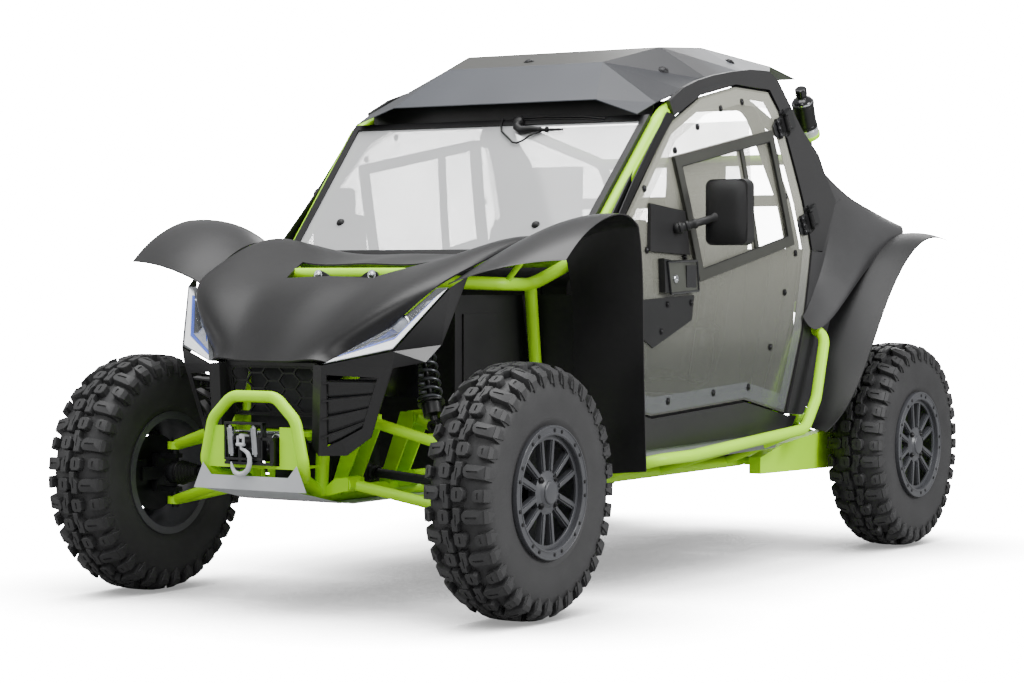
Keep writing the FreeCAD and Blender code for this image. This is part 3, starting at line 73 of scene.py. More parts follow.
def addNode(tree, kind, values=None, links=None, **settings):
    node = tree.nodes.new(kind)
    for key, value in settings.items():
        setattr(node, key, value)
    for socket, value in (values or {}).items():
        node.inputs[socket].default_value = value
    for socket, source in (links or {}).items():
        tree.links.new(source, node.inputs[socket])
    return node


# a math node on sockets or plain numbers
def mathNode(tree, operation, *terms):
    node = addNode(tree, "ShaderNodeMath", operation=operation)
    for index, term in enumerate(terms):
        if isinstance(term, bpy.types.NodeSocket):
            tree.links.new(term, node.inputs[index])
        else:
            node.inputs[index].default_value = term
    return node.outputs["Value"]


def objectPlace(tree):
    return addNode(tree, "ShaderNodeTexCoord").outputs["Object"]


def axesOf(tree, vector):
    return addNode(tree, "ShaderNodeSeparateXYZ", links={"Vector": vector}).outputs


# lays a second colour over the base colour of a finish where the share is 1
def overlay(tree, share, code):
    baseColour = tree.nodes["Principled BSDF"].inputs["Base Color"]
    mix = addNode(tree, "ShaderNodeMix", data_type="RGBA")
    tree.links.new(baseColour.links[0].from_socket, mix.inputs[6])
    tree.links.new(share, mix.inputs["Factor"])
    mix.inputs[7].default_value = hexColour(code)
    tree.links.new(mix.outputs[2], baseColour)


def newFinish(name, colour, roughness, metallic=0.0, **sockets):
    material = bpy.data.materials.new(name)
    material.use_nodes = True
    shader = material.node_tree.nodes["Principled BSDF"]
    shader.inputs["Base Color"].default_value = hexColour(colour)
    shader.inputs["Roughness"].default_value = roughness
    shader.inputs["Metallic"].default_value = metallic
    for socket, value in sockets.items():
        shader.inputs[socket.replace("_", " ")].default_value = value
    return material


# a grain of the given size in mm on the surface, and broad drifts of colour and gloss over it
def addGrain(material, grainSize, depth, darker, lighter, driftSize=180, glossSpread=0.08):
    tree = material.node_tree
    shader = tree.nodes["Principled BSDF"]
    place = objectPlace(tree)
    grain = addNode(tree, "ShaderNodeTexNoise", {"Scale": 1 / (grainSize * mm), "Detail": 3},
                    {"Vector": place})
    drift = addNode(tree, "ShaderNodeTexNoise", {"Scale": 1 / (driftSize * mm), "Detail": 4},
                    {"Vector": place})
    ramp = addNode(tree, "ShaderNodeValToRGB", links={"Fac": drift.outputs["Fac"]})
    ramp.color_ramp.elements[0].position = 0.3
    ramp.color_ramp.elements[1].position = 0.7
    ramp.color_ramp.elements[0].color = hexColour(darker)
    ramp.color_ramp.elements[1].color = hexColour(lighter)
    base = shader.inputs["Roughness"].default_value
    gloss = addNode(tree, "ShaderNodeMapRange", {"To Min": base - glossSpread, "To Max": base + glossSpread},
                    {"Value": drift.outputs["Fac"]})
    bump = addNode(tree, "ShaderNodeBump", {"Strength": 0.5, "Distance": depth * mm},
                   {"Height": grain.outputs["Fac"]})
    tree.links.new(ramp.outputs["Color"], shader.inputs["Base Color"])
    tree.links.new(gloss.outputs["Result"], shader.inputs["Roughness"])
    tree.links.new(bump.outputs["Normal"], shader.inputs["Normal"])
    return material


# moulded polypropylene panels, mould texture left matte: soft broad highlights
bodyPlastic = addGrain(newFinish("mouldedPolypropylene", "#1b1b1c", 0.34, Specular_IOR_Level=0.42), 1.2, 0.04,
                       "#19191a",
                       "#1e1e1f")
# the hood's copy of the plastic is more matte, with painted shade making it darker than the fenders; the
# quarter panels' copy is lighter, with painted light for the sky they catch
shadedHoodPlastic = addGrain(newFinish("matteHoodPolypropylenePaintedShade", "#111112", 0.42, Specular_IOR_Level=0.34), 1.2,
                       0.04,
                       "#0f0f10", "#131314")
litQuarterPlastic = addGrain(newFinish("satinQuarterPolypropylenePaintedLight", "#2b2b2c", 0.36, Specular_IOR_Level=0.45),
                          1.2, 0.04,
                          "#282829", "#2e2e2f")
# coarser textured polypropylene for liners, fascia and bed
texturedPlastic = addGrain(newFinish("texturedPolypropylene", "#161617", 0.52, Specular_IOR_Level=0.35), 2.0,
                           0.1,
                           "#141415", "#19191a")
# lime powder coat on steel tube: bright, faintly orange-peeled
limeCoat = addGrain(newFinish("limePowderCoat", "#aaea0a", 0.42, Specular_IOR_Level=0.3), 2.5, 0.04,
                    "#a5e506", "#b0ee0f", 260, 0.04)
# the cage's lime coat, with painted shade: near black where its header and lamp bar lie under the visor, and
# over the stretch round the hoop
cageCoat = addGrain(newFinish("limeCageCoatPaintedShade", "#a6e60a", 0.38), 2.5, 0.04, "#a1e106", "#ace90f", 260, 0.04)
cageShadeMask = {"halfWidth": 0.545, "lowest": 1.455, "hoopStart": -0.03, "hoopEnd": 0.76}
cageTree = cageCoat.node_tree
cagePlace = axesOf(cageTree, objectPlace(cageTree))
spread = mathNode(cageTree, "ABSOLUTE", cagePlace["X"])
inside = mathNode(cageTree, "LESS_THAN", spread, cageShadeMask["halfWidth"])
above = mathNode(cageTree, "GREATER_THAN", cagePlace["Z"], cageShadeMask["lowest"])
behind = mathNode(cageTree, "GREATER_THAN", cagePlace["Y"], cageShadeMask["hoopStart"])
ahead = mathNode(cageTree, "LESS_THAN", cagePlace["Y"], cageShadeMask["hoopEnd"])
masked = mathNode(cageTree, "MAXIMUM", mathNode(cageTree, "MULTIPLY", inside, above), behind)
overlay(cageTree, mathNode(cageTree, "MULTIPLY", masked, ahead), "#17181a")
# satin black powder coat on cast and pressed metal
blackCoat = addGrain(newFinish("satinBlackPowderCoat", "#111213", 0.36, Specular_IOR_Level=0.4), 1.5, 0.04,
                     "#0f1011", "#161718")
# graphite coat on the cast wheels, a shade lighter than the frame's black
wheelCoat = addGrain(newFinish("graphiteWheelCoat", "#3b3c3f", 0.36, Specular_IOR_Level=0.5), 1.5, 0.04,
                     "#37383b", "#404145")
# blue-grey powder-coated aluminium sheet roof: satin, with painted sky light and shade on its facets
roofCoat = addGrain(newFinish("slatePowderCoat", "#34373d", 0.38), 1.2, 0.03, "#31343a", "#383b41", 300, 0.05)
# painted shade darkens its flank facets towards the front, and a painted reflection gives the flat top a
# warmer tone
roofTree = roofCoat.node_tree
roofFacing = axesOf(roofTree, addNode(roofTree, "ShaderNodeNewGeometry").outputs["Normal"])
roofPlace = axesOf(roofTree, objectPlace(roofTree))
lean = mathNode(roofTree, "ABSOLUTE", roofFacing["X"])
flank = addNode(roofTree, "ShaderNodeMapRange", {"From Min": 0.2, "From Max": 0.45}, {"Value": lean})
fore = addNode(roofTree, "ShaderNodeMapRange", {"From Min": 0.35, "From Max": 0.2}, {"Value": roofPlace["Y"]})
flat = addNode(roofTree, "ShaderNodeMapRange", {"From Min": 0.9, "From Max": 0.96},
               {"Value": roofFacing["Z"]})
overlay(roofTree, flat.outputs["Result"], "#31312e")
flankShadeShare = mathNode(roofTree, "MULTIPLY", flank.outputs["Result"], fore.outputs["Result"])
overlay(roofTree, flankShadeShare, "#141519")
# silver powder-coated steel plate
silverCoat = addGrain(newFinish("silverPowderCoat", "#b9bcc0", 0.4, 0.35), 1.5, 0.04, "#b0b3b7", "#c4c7ca")
# grey satin sill plate
greyPlate = addGrain(newFinish("greySatinPlate", "#7f8284", 0.42, 0.3), 1.5, 0.04, "#787b7d", "#888b8d")
# carbon-black tyre rubber: dry matte with a faint bloom
tyreRubber = addGrain(newFinish("tyreRubber", "#29292a", 0.6, Specular_IOR_Level=0.4), 1.6, 0.1, "#262627",
                      "#2e2e2f", 90)
# extruded rubber seals: darker, slightly slick
sealRubber = addGrain(newFinish("sealRubber", "#0c0c0d", 0.45, Specular_IOR_Level=0.3), 1.0, 0.05, "#0a0a0b",
                      "#0f0f10")
# as-cast iron and steel housings under black wash
castIron = addGrain(newFinish("castIron", "#1b1c1e", 0.5, 0.5), 1.8, 0.2, "#18191b", "#212224")
# zinc-plated fasteners: bright and slightly blotched
zincPlate = addGrain(newFinish("zincPlatedSteel", "#b8bbbf", 0.28, 1.0), 2.0, 0.02, "#a9acb0", "#c6c9cc", 12)
# black oxide screws
blackOxide = addGrain(newFinish("blackOxideSteel", "#151517", 0.35, 0.6), 1.5, 0.03, "#121214", "#19191b", 12)
# polished aluminium winch drum, rollers and canister body
polishedAluminium = addGrain(newFinish("polishedAluminium", "#c9ccd0", 0.2, 1.0), 0.9, 0.02, "#bdc0c4",
                             "#d3d6d9", 30)
# folded aluminium radiator core
radiatorAluminium = addGrain(newFinish("foldedAluminium", "#1c1d1f", 0.5, 0.5), 1.4, 0.05, "#18191b",
                             "#222326", 20)
# olive-grey anodised window frames
oliveFrame = addGrain(newFinish("oliveAnodised", "#3c3d38", 0.42, 0.4), 1.0, 0.03, "#383934", "#42433e")
# red acrylic tail lens
redLens = newFinish("redAcrylic", "#8e1111", 0.12, IOR=1.49)
addGrain(redLens, 6.0, 0.3, "#860f0f", "#981414", 40, 0.03)


# clear sheet: a painted haze standing in for the studio light seen in and through it, over what lies behind
# it, with one shade of haze low down and another at the roof
def clearSheet(name, lowPaintedHaze, highPaintedHaze, alpha, roughness=0.06):
    material = newFinish(name, highPaintedHaze, roughness, IOR=1.5)
    tree = material.node_tree
    shader = tree.nodes["Principled BSDF"]
    place = objectPlace(tree)
    haze = addNode(tree, "ShaderNodeTexNoise", {"Scale": 2.2, "Detail": 2}, {"Vector": place})
    veil = addNode(tree, "ShaderNodeMapRange", {"To Min": alpha - 0.07, "To Max": alpha + 0.07},
                   {"Value": haze.outputs["Fac"]})
    rise = addNode(tree, "ShaderNodeMapRange", {"From Min": 0.7, "From Max": 1.25},
                   {"Value": axesOf(tree, place)["Z"]})
    hazeRamp = addNode(tree, "ShaderNodeValToRGB", links={"Fac": rise.outputs["Result"]})
    hazeRamp.color_ramp.elements[0].color = hexColour(lowPaintedHaze)
    hazeRamp.color_ramp.elements[1].color = hexColour(highPaintedHaze)
    tree.links.new(hazeRamp.outputs["Color"], shader.inputs["Base Color"])
    tree.links.new(veil.outputs["Result"], shader.inputs["Alpha"])
    return material


# hard-coated polycarbonate sheets: windshield, doors and rear window; their colours are painted haze, paler
# low down on the windshield and darker low down on the doors
windshieldSheet = clearSheet("windshieldPolycarbonate", "#c4c5c6", "#b9babb", 0.6)
doorSheet = clearSheet("doorPolycarbonate", "#63655f", "#a3a396", 0.42)
# clear acrylic lamp lens: a faint painted haze of studio light
lampLens = clearSheet("clearAcrylic", "#e4e9ee", "#e4e9ee", 0.1, 0.03)
sides, ends = ("left", "right"), ("front", "rear")
covered = [
    (shadedHoodPlastic, ["hood"]), (litQuarterPlastic, ["quarter_panels"]), (greyPlate, ["sill_plates"]),
    (bodyPlastic, ["front_fenders", "pillar_trims", "front_fascia", "sills"]), (silverCoat, ["skid_plates"]),
    (texturedPlastic, ["grille", "rear_fenders", "arch_liners", "floor_tub", "dashboard", "cargo_bed",
                       "seats"]),
    (texturedPlastic, [f"door_{side}_mirror" for side in sides]), (cageCoat, ["roll_cage"]),
    (roofCoat, ["roof"]),
    (limeCoat, ["main_frame", "bull_bar", "front_arms", "trailing_arms", "side_bars", "rear_bumper"]),
    (castIron, ["knuckle_left", "knuckle_right", "drive_line", "engine_block"]), (redLens, ["tail_lights"]),
    (blackCoat, ["winch", "shocks", "steering_column", "canister", "door_hinges"]),
    (lampLens, ["headlights"]),
    (blackCoat, [f"door_{side}_latch" for side in sides]),
    (oliveFrame, [f"door_{side}_window" for side in sides]),
    (sealRubber, ["windshield_frame", "steering_wheel"]),
    (sealRubber, [f"door_{side}_frame" for side in sides]),
    (radiatorAluminium, ["radiator"]), (windshieldSheet, ["windshield"]), (doorSheet, ["rear_window"]),
    (doorSheet, [f"door_{side}_glass" for side in sides]),
    (wheelCoat, [f"rim_{end}_{side}" for end in ends for side in sides]),
    (tyreRubber, [f"tyre_{end}_{side}" for end in ends for side in sides]),
]
finishes = {nodeName: finish for finish, names in covered for nodeName in names}
for nodeName, finish in finishes.items():
    mesh = nodes[nodeName].data
    mesh.materials.clear()
    mesh.materials.append(finish)
print("materials assigned")


# a mesh under construction is a dict of points and faces

def newShape():
    return {"points": [], "faces": []}


def addPart(shape, points, faces):
    first = len(shape["points"])
    shape["points"] += [Vector(p) for p in points]
    shape["faces"] += [[first + i for i in face] for face in faces]


# quads between two rings of points, numbered from low and from high
def bridge(low, high, count):
    return [(low + k, low + (k + 1) % count, high + (k + 1) % count, high + k) for k in range(count)]


def addBox(shape, low, high):
    x0, y0, z0 = low
    x1, y1, z1 = high
    points = [(x, y, z) for x in (x0, x1) for y in (y0, y1) for z in (z0, z1)]
    addPart(shape, points, [(0, 1, 3, 2), (4, 6, 7, 5), (0, 4, 5, 1), (2, 3, 7, 6), (0, 2, 6, 4),
                            (1, 5, 7, 3)])


def addPrism(shape, outline, through):
    count = len(outline)
    through = Vector(through)
    points = [Vector(p) for p in outline] + [Vector(p) + through for p in outline]
    ends = [tuple(reversed(range(count))), tuple(range(count, 2 * count))]
    addPart(shape, points, ends + bridge(0, count, count))


def crossOf(direction):
    helper = Vector((0, 0, 1)) if abs(direction.normalized().z) < 0.9 else Vector((0, 1, 0))
    first = direction.cross(helper).normalized()
    return first, direction.cross(first).normalized()


def addTube(shape, path, radius, sides=16):
    path = [Vector(p) for p in path]
    rings = []
    across, over = crossOf(path[1] - path[0])
    for index, point in enumerate(path):
        ahead = path[min(index + 1, len(path) - 1)] - path[max(index - 1, 0)]
        across = (across - ahead * (across.dot(ahead) / ahead.length_squared)).normalized()
        over = ahead.cross(across).normalized()
        width = radius[index] if isinstance(radius, (list, tuple)) else radius
        turns = [math.tau * k / sides for k in range(sides)]
        rings.append([point + (across * math.cos(t) + over * math.sin(t)) * width for t in turns])
    faces = [tuple(reversed(range(sides)))]
    for index in range(len(path) - 1):
        faces += bridge(index * sides, (index + 1) * sides, sides)
    faces.append(tuple((len(path) - 1) * sides + k for k in range(sides)))
    addPart(shape, [p for ring in rings for p in ring], faces)


# rings of (distance along the axis, radius), turned about an axis through start
def addTurned(shape, start, axis, profile, sides=32, closed=False):
    start, axis = Vector(start), Vector(axis).normalized()
    across, over = crossOf(axis)
    points = []
    for along, radius in profile:
        for k in range(sides):
            turn = math.tau * k / sides
            points.append(start + axis * along + (across * math.cos(turn) + over * math.sin(turn)) * radius)
    faces = []
    loops = len(profile) if closed else len(profile) - 1
    for ring in range(loops):
        faces += bridge(ring * sides, (ring + 1) % len(profile) * sides, sides)
    if not closed:
        faces += [tuple(reversed(range(sides))), tuple((len(profile) - 1) * sides + k for k in range(sides))]
    addPart(shape, points, faces)


# a profile for addTurned that runs in to the axis at both ends
axisRadius = 0.0005


def capped(*rows):
    return [(rows[0][0], axisRadius), *rows, (rows[-1][0], axisRadius)]


def toSide(place, way):
    return Vector((way * place.x, place.y, place.z))


def sameShape(shape):
    return shape


def mirroredShape(shape):
    return {"points": [toSide(p, -1) for p in shape["points"]], "faces": [f[::-1] for f in shape["faces"]]}


def joined(*shapes):
    whole = newShape()
    for shape in shapes:
        addPart(whole, shape["points"], shape["faces"])
    return whole


def meshFrom(name, shape, material, sharpAngle=35):
    mesh = bpy.data.meshes.new(name)
    mesh.from_pydata([tuple(p) for p in shape["points"]], [], shape["faces"])
    work = bmesh.new()
    work.from_mesh(mesh)
    bmesh.ops.remove_doubles(work, verts=work.verts, dist=1e-6)
    bmesh.ops.recalc_face_normals(work, faces=work.faces)
    for edge in work.edges:
        if len(edge.link_faces) == 2 and edge.calc_face_angle(0) > math.radians(sharpAngle):
            edge.smooth = False
    for face in work.faces:
        face.smooth = True
    work.to_mesh(mesh)
    work.free()
    mesh.materials.append(material)
    return mesh


def newObject(name, data):
    made = bpy.data.objects.new(name, data)
    bpy.context.scene.collection.objects.link(made)
    return made


def pieceFromMesh(name, mesh, body):
    piece = newObject(name, mesh)
    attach(piece, body)
    return piece


def addPiece(name, shape, material, body, bevel=0.0, sharpAngle=35):
    piece = pieceFromMesh(name, meshFrom(name, shape, material, sharpAngle), body)
    if bevel:
        rounding = piece.modifiers.new("edges", "BEVEL")
        rounding.width = bevel
        rounding.segments = 2
        rounding.limit_method = "ANGLE"
        rounding.angle_limit = math.radians(sharpAngle)
    return piece


# a node tree with named inputs; build fills it between its group input and output
def newGeometryTree(name, inputs, build):
    tree = bpy.data.node_groups.new(name, "GeometryNodeTree")
    tree.interface.new_socket("Geometry", in_out="INPUT", socket_type="NodeSocketGeometry")
    for label, (kind, value) in inputs.items():
        socket = tree.interface.new_socket(label, in_out="INPUT", socket_type=kind)
        if value is not None:
            socket.default_value = value
    tree.interface.new_socket("Geometry", in_out="OUTPUT", socket_type="NodeSocketGeometry")
    start = tree.nodes.new("NodeGroupInput")
    end = tree.nodes.new("NodeGroupOutput")
    result = build(tree, start.outputs)
    realised = addNode(tree, "GeometryNodeRealizeInstances", links={"Geometry": result})
    painted = addNode(tree, "GeometryNodeSetMaterial",
                      links={"Geometry": realised.outputs["Geometry"], "Material": start.outputs["Material"]})
    tree.links.new(painted.outputs["Geometry"], end.inputs["Geometry"])
    return tree


# runs a tree on a mesh and gives back the plain mesh that it makes
def grown(name, mesh, tree, values):
    seed = newObject(name, mesh)
    modifier = seed.modifiers.new("grow", "NODES")
    modifier.node_group = tree
    for item in tree.interface.items_tree:
        if item.item_type == "SOCKET" and item.in_out == "INPUT" and item.name in values:
            modifier[item.identifier] = values[item.name]
    graph = bpy.context.evaluated_depsgraph_get()
    result = bpy.data.meshes.new_from_object(seed.evaluated_get(graph), depsgraph=graph)
    bpy.data.objects.remove(seed)
    result.name = name
    return result


# screws: a washer and a domed head on each point, turned to the point's facing

def buildScrews(tree, given):
    washer = addNode(tree, "GeometryNodeMeshCylinder", {"Vertices": 16},
                     {"Radius": given["Washer radius"], "Depth": given["Washer height"]})
    dome = addNode(tree, "GeometryNodeMeshUVSphere", {"Segments": 14, "Rings": 8},
                   {"Radius": given["Head radius"]})
    flatten = addNode(tree, "ShaderNodeCombineXYZ", {"X": 1.0, "Y": 1.0}, {"Z": given["Head flatness"]})
    head = addNode(tree, "GeometryNodeTransform",
                   links={"Geometry": dome.outputs["Mesh"], "Scale": flatten.outputs["Vector"]})
    screw = addNode(tree, "GeometryNodeJoinGeometry", links={"Geometry": washer.outputs["Mesh"]})
    tree.links.new(head.outputs["Geometry"], screw.inputs["Geometry"])
    shade = addNode(tree, "GeometryNodeSetShadeSmooth", {"Shade Smooth": False},
                    {"Geometry": screw.outputs["Geometry"]})
    facing = addNode(tree, "GeometryNodeInputNamedAttribute", {"Name": "facing"}, data_type="FLOAT_VECTOR")
    turned = addNode(tree, "FunctionNodeAlignRotationToVector", links={"Vector": facing.outputs["Attribute"]},
                     axis="Z")
    placed = addNode(tree, "GeometryNodeInstanceOnPoints", links={
        "Points": given["Geometry"], "Instance": shade.outputs["Geometry"],
        "Rotation": turned.outputs["Rotation"]})
    return placed.outputs["Instances"]


screwTree = newGeometryTree("screws", {
    "Washer radius": ("NodeSocketFloat", 0.008), "Washer height": ("NodeSocketFloat", 0.002),
    "Head radius": ("NodeSocketFloat", 0.006), "Head flatness": ("NodeSocketFloat", 0.6),
    "Material": ("NodeSocketMaterial", None)}, buildScrews)


# spots are (place, facing) pairs in metres
def addScrews(name, spots, material, body, slot, washer=0.008, head=0.006, height=0.002, flatness=0.6):
    mesh = bpy.data.meshes.new(name + "Points")
    mesh.from_pydata([tuple(place) for place, facing in spots], [], [])
    direction = mesh.attributes.new("facing", "FLOAT_VECTOR", "POINT")
    for index, (place, facing) in enumerate(spots):
        direction.data[index].vector = Vector(facing).normalized()
    made = grown(name, mesh, screwTree, {"Washer radius": washer, "Washer height": height,
                                         "Head radius": head,
                                         "Head flatness": flatness, "Material": material})
    return pieceFromMesh(name, made, body)


def mirroredSpots(spots):
    return [((-p[0], p[1], p[2]), (-f[0], f[1], f[2])) for p, f in spots]


# tyres: a turned carcass with eighteen repeats of moulded lugs

tyre = {"pitches": 18, "ringSides": 126, "sink": 4, "edge": 1.8, "slotDepth": 4,
        "carcass": [(91, 184), (92, 198), (99, 207), (99, 214), (101, 232), (102.5, 262), (102, 292),
                    (98, 314), (88, 328), (73, 339), (52, 345), (26, 347.5), (0, 348)],
        "tread": [(0, 369), (30, 368.6), (60, 366), (82, 359), (96, 348), (106, 336)]}
# lug outlines as (along the tread, across from the middle) in mm, on the outboard half
tyre["blocks"] = [[(5, 42), (16, 37), (26, 37), (37, 46), (39, 101), (-3, 101), (-1, 52)],
                  [(66, 70), (88, 70), (94, 78), (97, 101), (59, 101), (60, 78)],
                  [(60, 12), (67, 5), (92, 5), (99, 12), (99, 35), (91, 42), (68, 42), (60, 35)],
                  [(-22, 3), (8, 3), (17, 11), (43, 11), (43, 33), (9, 33), (-3, 22), (-22, 22)]]


def heightAt(table, across):
    across = abs(across)
    for (x0, r0), (x1, r1) in zip(table, table[1:]):
        if x0 <= across <= x1:
            return r0 + (r1 - r0) * (across - x0) / (x1 - x0)
    return table[-1][1]


def treadPoint(along, across, radius):
    turn = along / 360
    return Vector((across * mm, math.sin(turn) * radius * mm, math.cos(turn) * radius * mm))


def addLug(shape, outline, way, shift):
    crown = sorted(row for row in tyre["carcass"] if row[1] > 310)
    alongs, acrosses = [a for a, c in outline], [c for a, c in outline]
    middle = (sum(alongs) / len(outline), sum(acrosses) / len(outline))
    lengthwise = max(alongs) - min(alongs) > max(acrosses) - min(acrosses)
    slot = (0.5, 0.14) if lengthwise else (0.14, 0.5)

    def ring(spread, sunk, foot=False):
        points = []
        for along, across in outline:
            a = middle[0] + (along - middle[0]) * spread[0]
            c = middle[1] + (across - middle[1]) * spread[1]
            height = heightAt(crown, min(c, 98)) if foot else heightAt(tyre["tread"], c)
            points.append(treadPoint(a + shift, way * c, height - sunk))
        return points

    rings = [ring((1.1, 1.06), tyre["sink"], True), ring((1, 1), tyre["edge"]), ring((0.93, 0.94), 0),
             ring(slot, 0), ring(slot, tyre["slotDepth"])]
    count = len(outline)
    faces = [tuple(range(4 * count, 5 * count)), tuple(reversed(range(count)))]
    for level in range(4):
        faces += bridge(level * count, (level + 1) * count, count)
    addPart(shape, [p for points in rings for p in points], faces)


# a ridge that runs from a shoulder lug down the sidewall, tapering to nothing
def addSideFin(shape, way, shift, start, width):
    rows = [(99, 347, 0, 1), (106, 334, 0.08, 0.92), (106.5, 318, 0.24, 0.78), (104.5, 300, 0.44, 0.6)]
    outer, inner = [], []
    for across, radius, low, high in rows:
        ends = (start + width * low, start + width * high)
        outer.append([treadPoint(a + shift, way * min(across, 105.8), radius) for a in ends])
        foot = (ends[0] - 2, ends[1] + 2)
        inner.append([treadPoint(a + shift, way * (across - 12), radius - 2) for a in foot])
    points = [p for pair in outer for p in pair] + [p for pair in inner for p in pair]
    last = 2 * len(rows)
    faces = [(0, 1, last + 1, last), (last - 2, last - 1, 2 * last - 1, 2 * last - 2)]
    for k in range(0, last - 2, 2):
        faces += [(k, k + 1, k + 3, k + 2), (last + k, last + k + 2, last + k + 3, last + k + 1),
                  (k, k + 2, last + k + 2, last + k), (k + 1, last + k + 1, last + k + 3, k + 3)]
    addPart(shape, points, faces)


def buildTreadRing(tree, given):
    line = addNode(tree, "GeometryNodeMeshLine", {"Offset": (0, 0, 0)}, {"Count": given["Pitches"]})
    count = addNode(tree, "GeometryNodeInputIndex")
    angle = mathNode(tree, "MULTIPLY", count.outputs["Index"],
                     mathNode(tree, "DIVIDE", math.tau, given["Pitches"]))
    euler = addNode(tree, "ShaderNodeCombineXYZ", links={"X": angle})
    rotation = addNode(tree, "FunctionNodeEulerToRotation", links={"Euler": euler.outputs["Vector"]})
    ring = addNode(tree, "GeometryNodeInstanceOnPoints", links={
        "Points": line.outputs["Mesh"], "Instance": given["Geometry"],
        "Rotation": rotation.outputs["Rotation"]})
    return ring.outputs["Instances"]


treadTree = newGeometryTree("treadRing", {"Pitches": ("NodeSocketInt", 18),
                                          "Material": ("NodeSocketMaterial", None)},
                            buildTreadRing)
pitchLength = math.tau * 360 / tyre["pitches"]
pitchShape = newShape()
for way, shift in ((1, 0), (-1, pitchLength * 0.5)):
    for outline in tyre["blocks"]:
        addLug(pitchShape, outline, way, shift)
    addSideFin(pitchShape, way, shift, -1, 38)
    addSideFin(pitchShape, way, shift, 60, 36)
treadMesh = grown("treadLugs", meshFrom("treadPitch", pitchShape, tyreRubber, 25), treadTree,
                  {"Pitches": tyre["pitches"], "Material": tyreRubber})
carcassShape = newShape()
half = [(x * mm, r * mm) for x, r in tyre["carcass"]]
addTurned(carcassShape, (0, 0, 0), (1, 0, 0), half + [(-x, r) for x, r in reversed(half[:-1])],
          tyre["ringSides"])
# drop the two end discs, so that the carcass is an open band between its beads
carcassShape["faces"] = [f for f in carcassShape["faces"] if len(f) == 4]
carcassMesh = meshFrom("tyreCarcass", carcassShape, tyreRubber, 40)
for end in ("front", "rear"):
    for side in ("left", "right"):
        low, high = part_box(f"tyre_{end}_{side}")
        spin = math.pi if side == "right" else 0
        place = Matrix.Translation((low + high) / 2) @ Matrix.Rotation(spin, 4, "Z")
        work = bmesh.new()
        for source in (carcassMesh, treadMesh):
            work.from_mesh(source)
        bmesh.ops.transform(work, matrix=place, verts=work.verts)
        mesh = bpy.data.meshes.new(f"tyre_{end}_{side}_tread")
        work.to_mesh(mesh)
        work.free()
        mesh.materials.append(tyreRubber)
        whole = pieceFromMesh(f"tread_{end}_{side}", mesh, f"wheel_{end}_{side}")
        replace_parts(whole, f"tyre_{end}_{side}")
print("tyres made")


def point(x, y, z):
    return Vector((x, y, z)) * mm


# bright moulded white light guide, lit blue light pipe, vacuum-metallised reflector
lightGuide = newFinish("opalLightGuide", "#f6f8fb", 0.25, IOR=1.49)
addGrain(lightGuide, 8.0, 0.02, "#f0f3f7", "#fbfcfd", 60, 0.03)
blueLightPipe = addGrain(newFinish("blueLightPipe", "#1747c4", 0.2, IOR=1.49), 5.0, 0.02, "#1440b5",
                         "#1c50d2", 40, 0.03)
metallisedReflector = addGrain(newFinish("metallisedReflector", "#d9dde4", 0.16, 1.0), 4.0, 0.05, "#ced3db",
                               "#e6eaf0", 30, 0.05)
# gloss black moulding round the lamp optics and the lock
glossBlack = addGrain(newFinish("glossBlackAbs", "#101113", 0.16, IOR=1.54), 6.0, 0.02, "#0e0f11", "#131416",
                      60, 0.04)


# wheels: ribs on the spokes, ring bolts, wheel nuts and a plain cap

wheel = {"halfTrack": {"front": 0.692, "rear": 0.718}, "axle": {"front": -1.25, "rear": 1.25},
         "height": 0.369,
         "spokePairs": 6, "ringBolts": 18, "ringRadius": 0.177, "nuts": 4, "nutRadius": 0.05,
         "rings": [(150, 163, 84, 92), (165, 170, 102, 106.5), (186, 190.5, 102, 106.5)],
         "rib": [(17, 60), (24, 60), (37, 160), (33, 171), (26, 160), (13, 66)]}


def wheelPoint(end, way, outboard, across, radial, turn):
    centre = Vector((way * wheel["halfTrack"][end], wheel["axle"][end], wheel["height"]))
    return centre + Vector((way * outboard, across * math.cos(turn) + radial * math.sin(turn),
                            radial * math.cos(turn) - across * math.sin(turn)))


for end in ("front", "rear"):
    for side, way in (("left", 1), ("right", -1)):
        ribs = newShape()
        for pair in range(wheel["spokePairs"]):
            turn = math.tau * pair / wheel["spokePairs"]
            for lean in (1, -1):
                low = [wheelPoint(end, way, 0.0865, lean * a * mm, r * mm, turn) for a, r in wheel["rib"]]
                addPrism(ribs, low, (way * 0.0045, 0, 0))
        centre = wheelPoint(end, way, 0, 0, 0, 0)
        for inner, outer, base, top in wheel["rings"]:
            profile = [(base * mm, inner * mm), (top * mm, inner * mm), (top * mm, outer * mm),
                       (base * mm, outer * mm)]
            addTurned(ribs, centre, (way, 0, 0), profile, 72, closed=True)
        addTurned(ribs, centre, (way, 0, 0),
                  [(0.09, 0.034), (0.1, 0.034), (0.103, 0.031), (0.1045, 0.022), (0.105, 0.0005)], 40)
        addPiece(f"rim_ribs_{end}_{side}", ribs, wheelCoat, f"wheel_{end}_{side}", 0.001)
        spots = []
        for k in range(wheel["ringBolts"]):
            turn = math.tau * (k + 0.18 * (-1) ** k) / wheel["ringBolts"]
            spots.append((wheelPoint(end, way, 0.1055, 0, wheel["ringRadius"], turn), (way, 0, 0)))
        addScrews(f"ring_bolts_{end}_{side}", spots, blackOxide, f"wheel_{end}_{side}", "satin_black_metal",
                  0.0055, 0.0045, 0.002, 0.5)
        nutTurns = [math.tau * (k + 0.5) / wheel["nuts"] for k in range(wheel["nuts"])]
        nuts = [(wheelPoint(end, way, 0.087, 0, wheel["nutRadius"], turn), (way, 0, 0)) for turn in nutTurns]
        addScrews(f"wheel_nuts_{end}_{side}", nuts, blackOxide, f"wheel_{end}_{side}", "satin_black_metal",
                  0.012, 0.009, 0.006, 1.3)
print("wheels dressed")


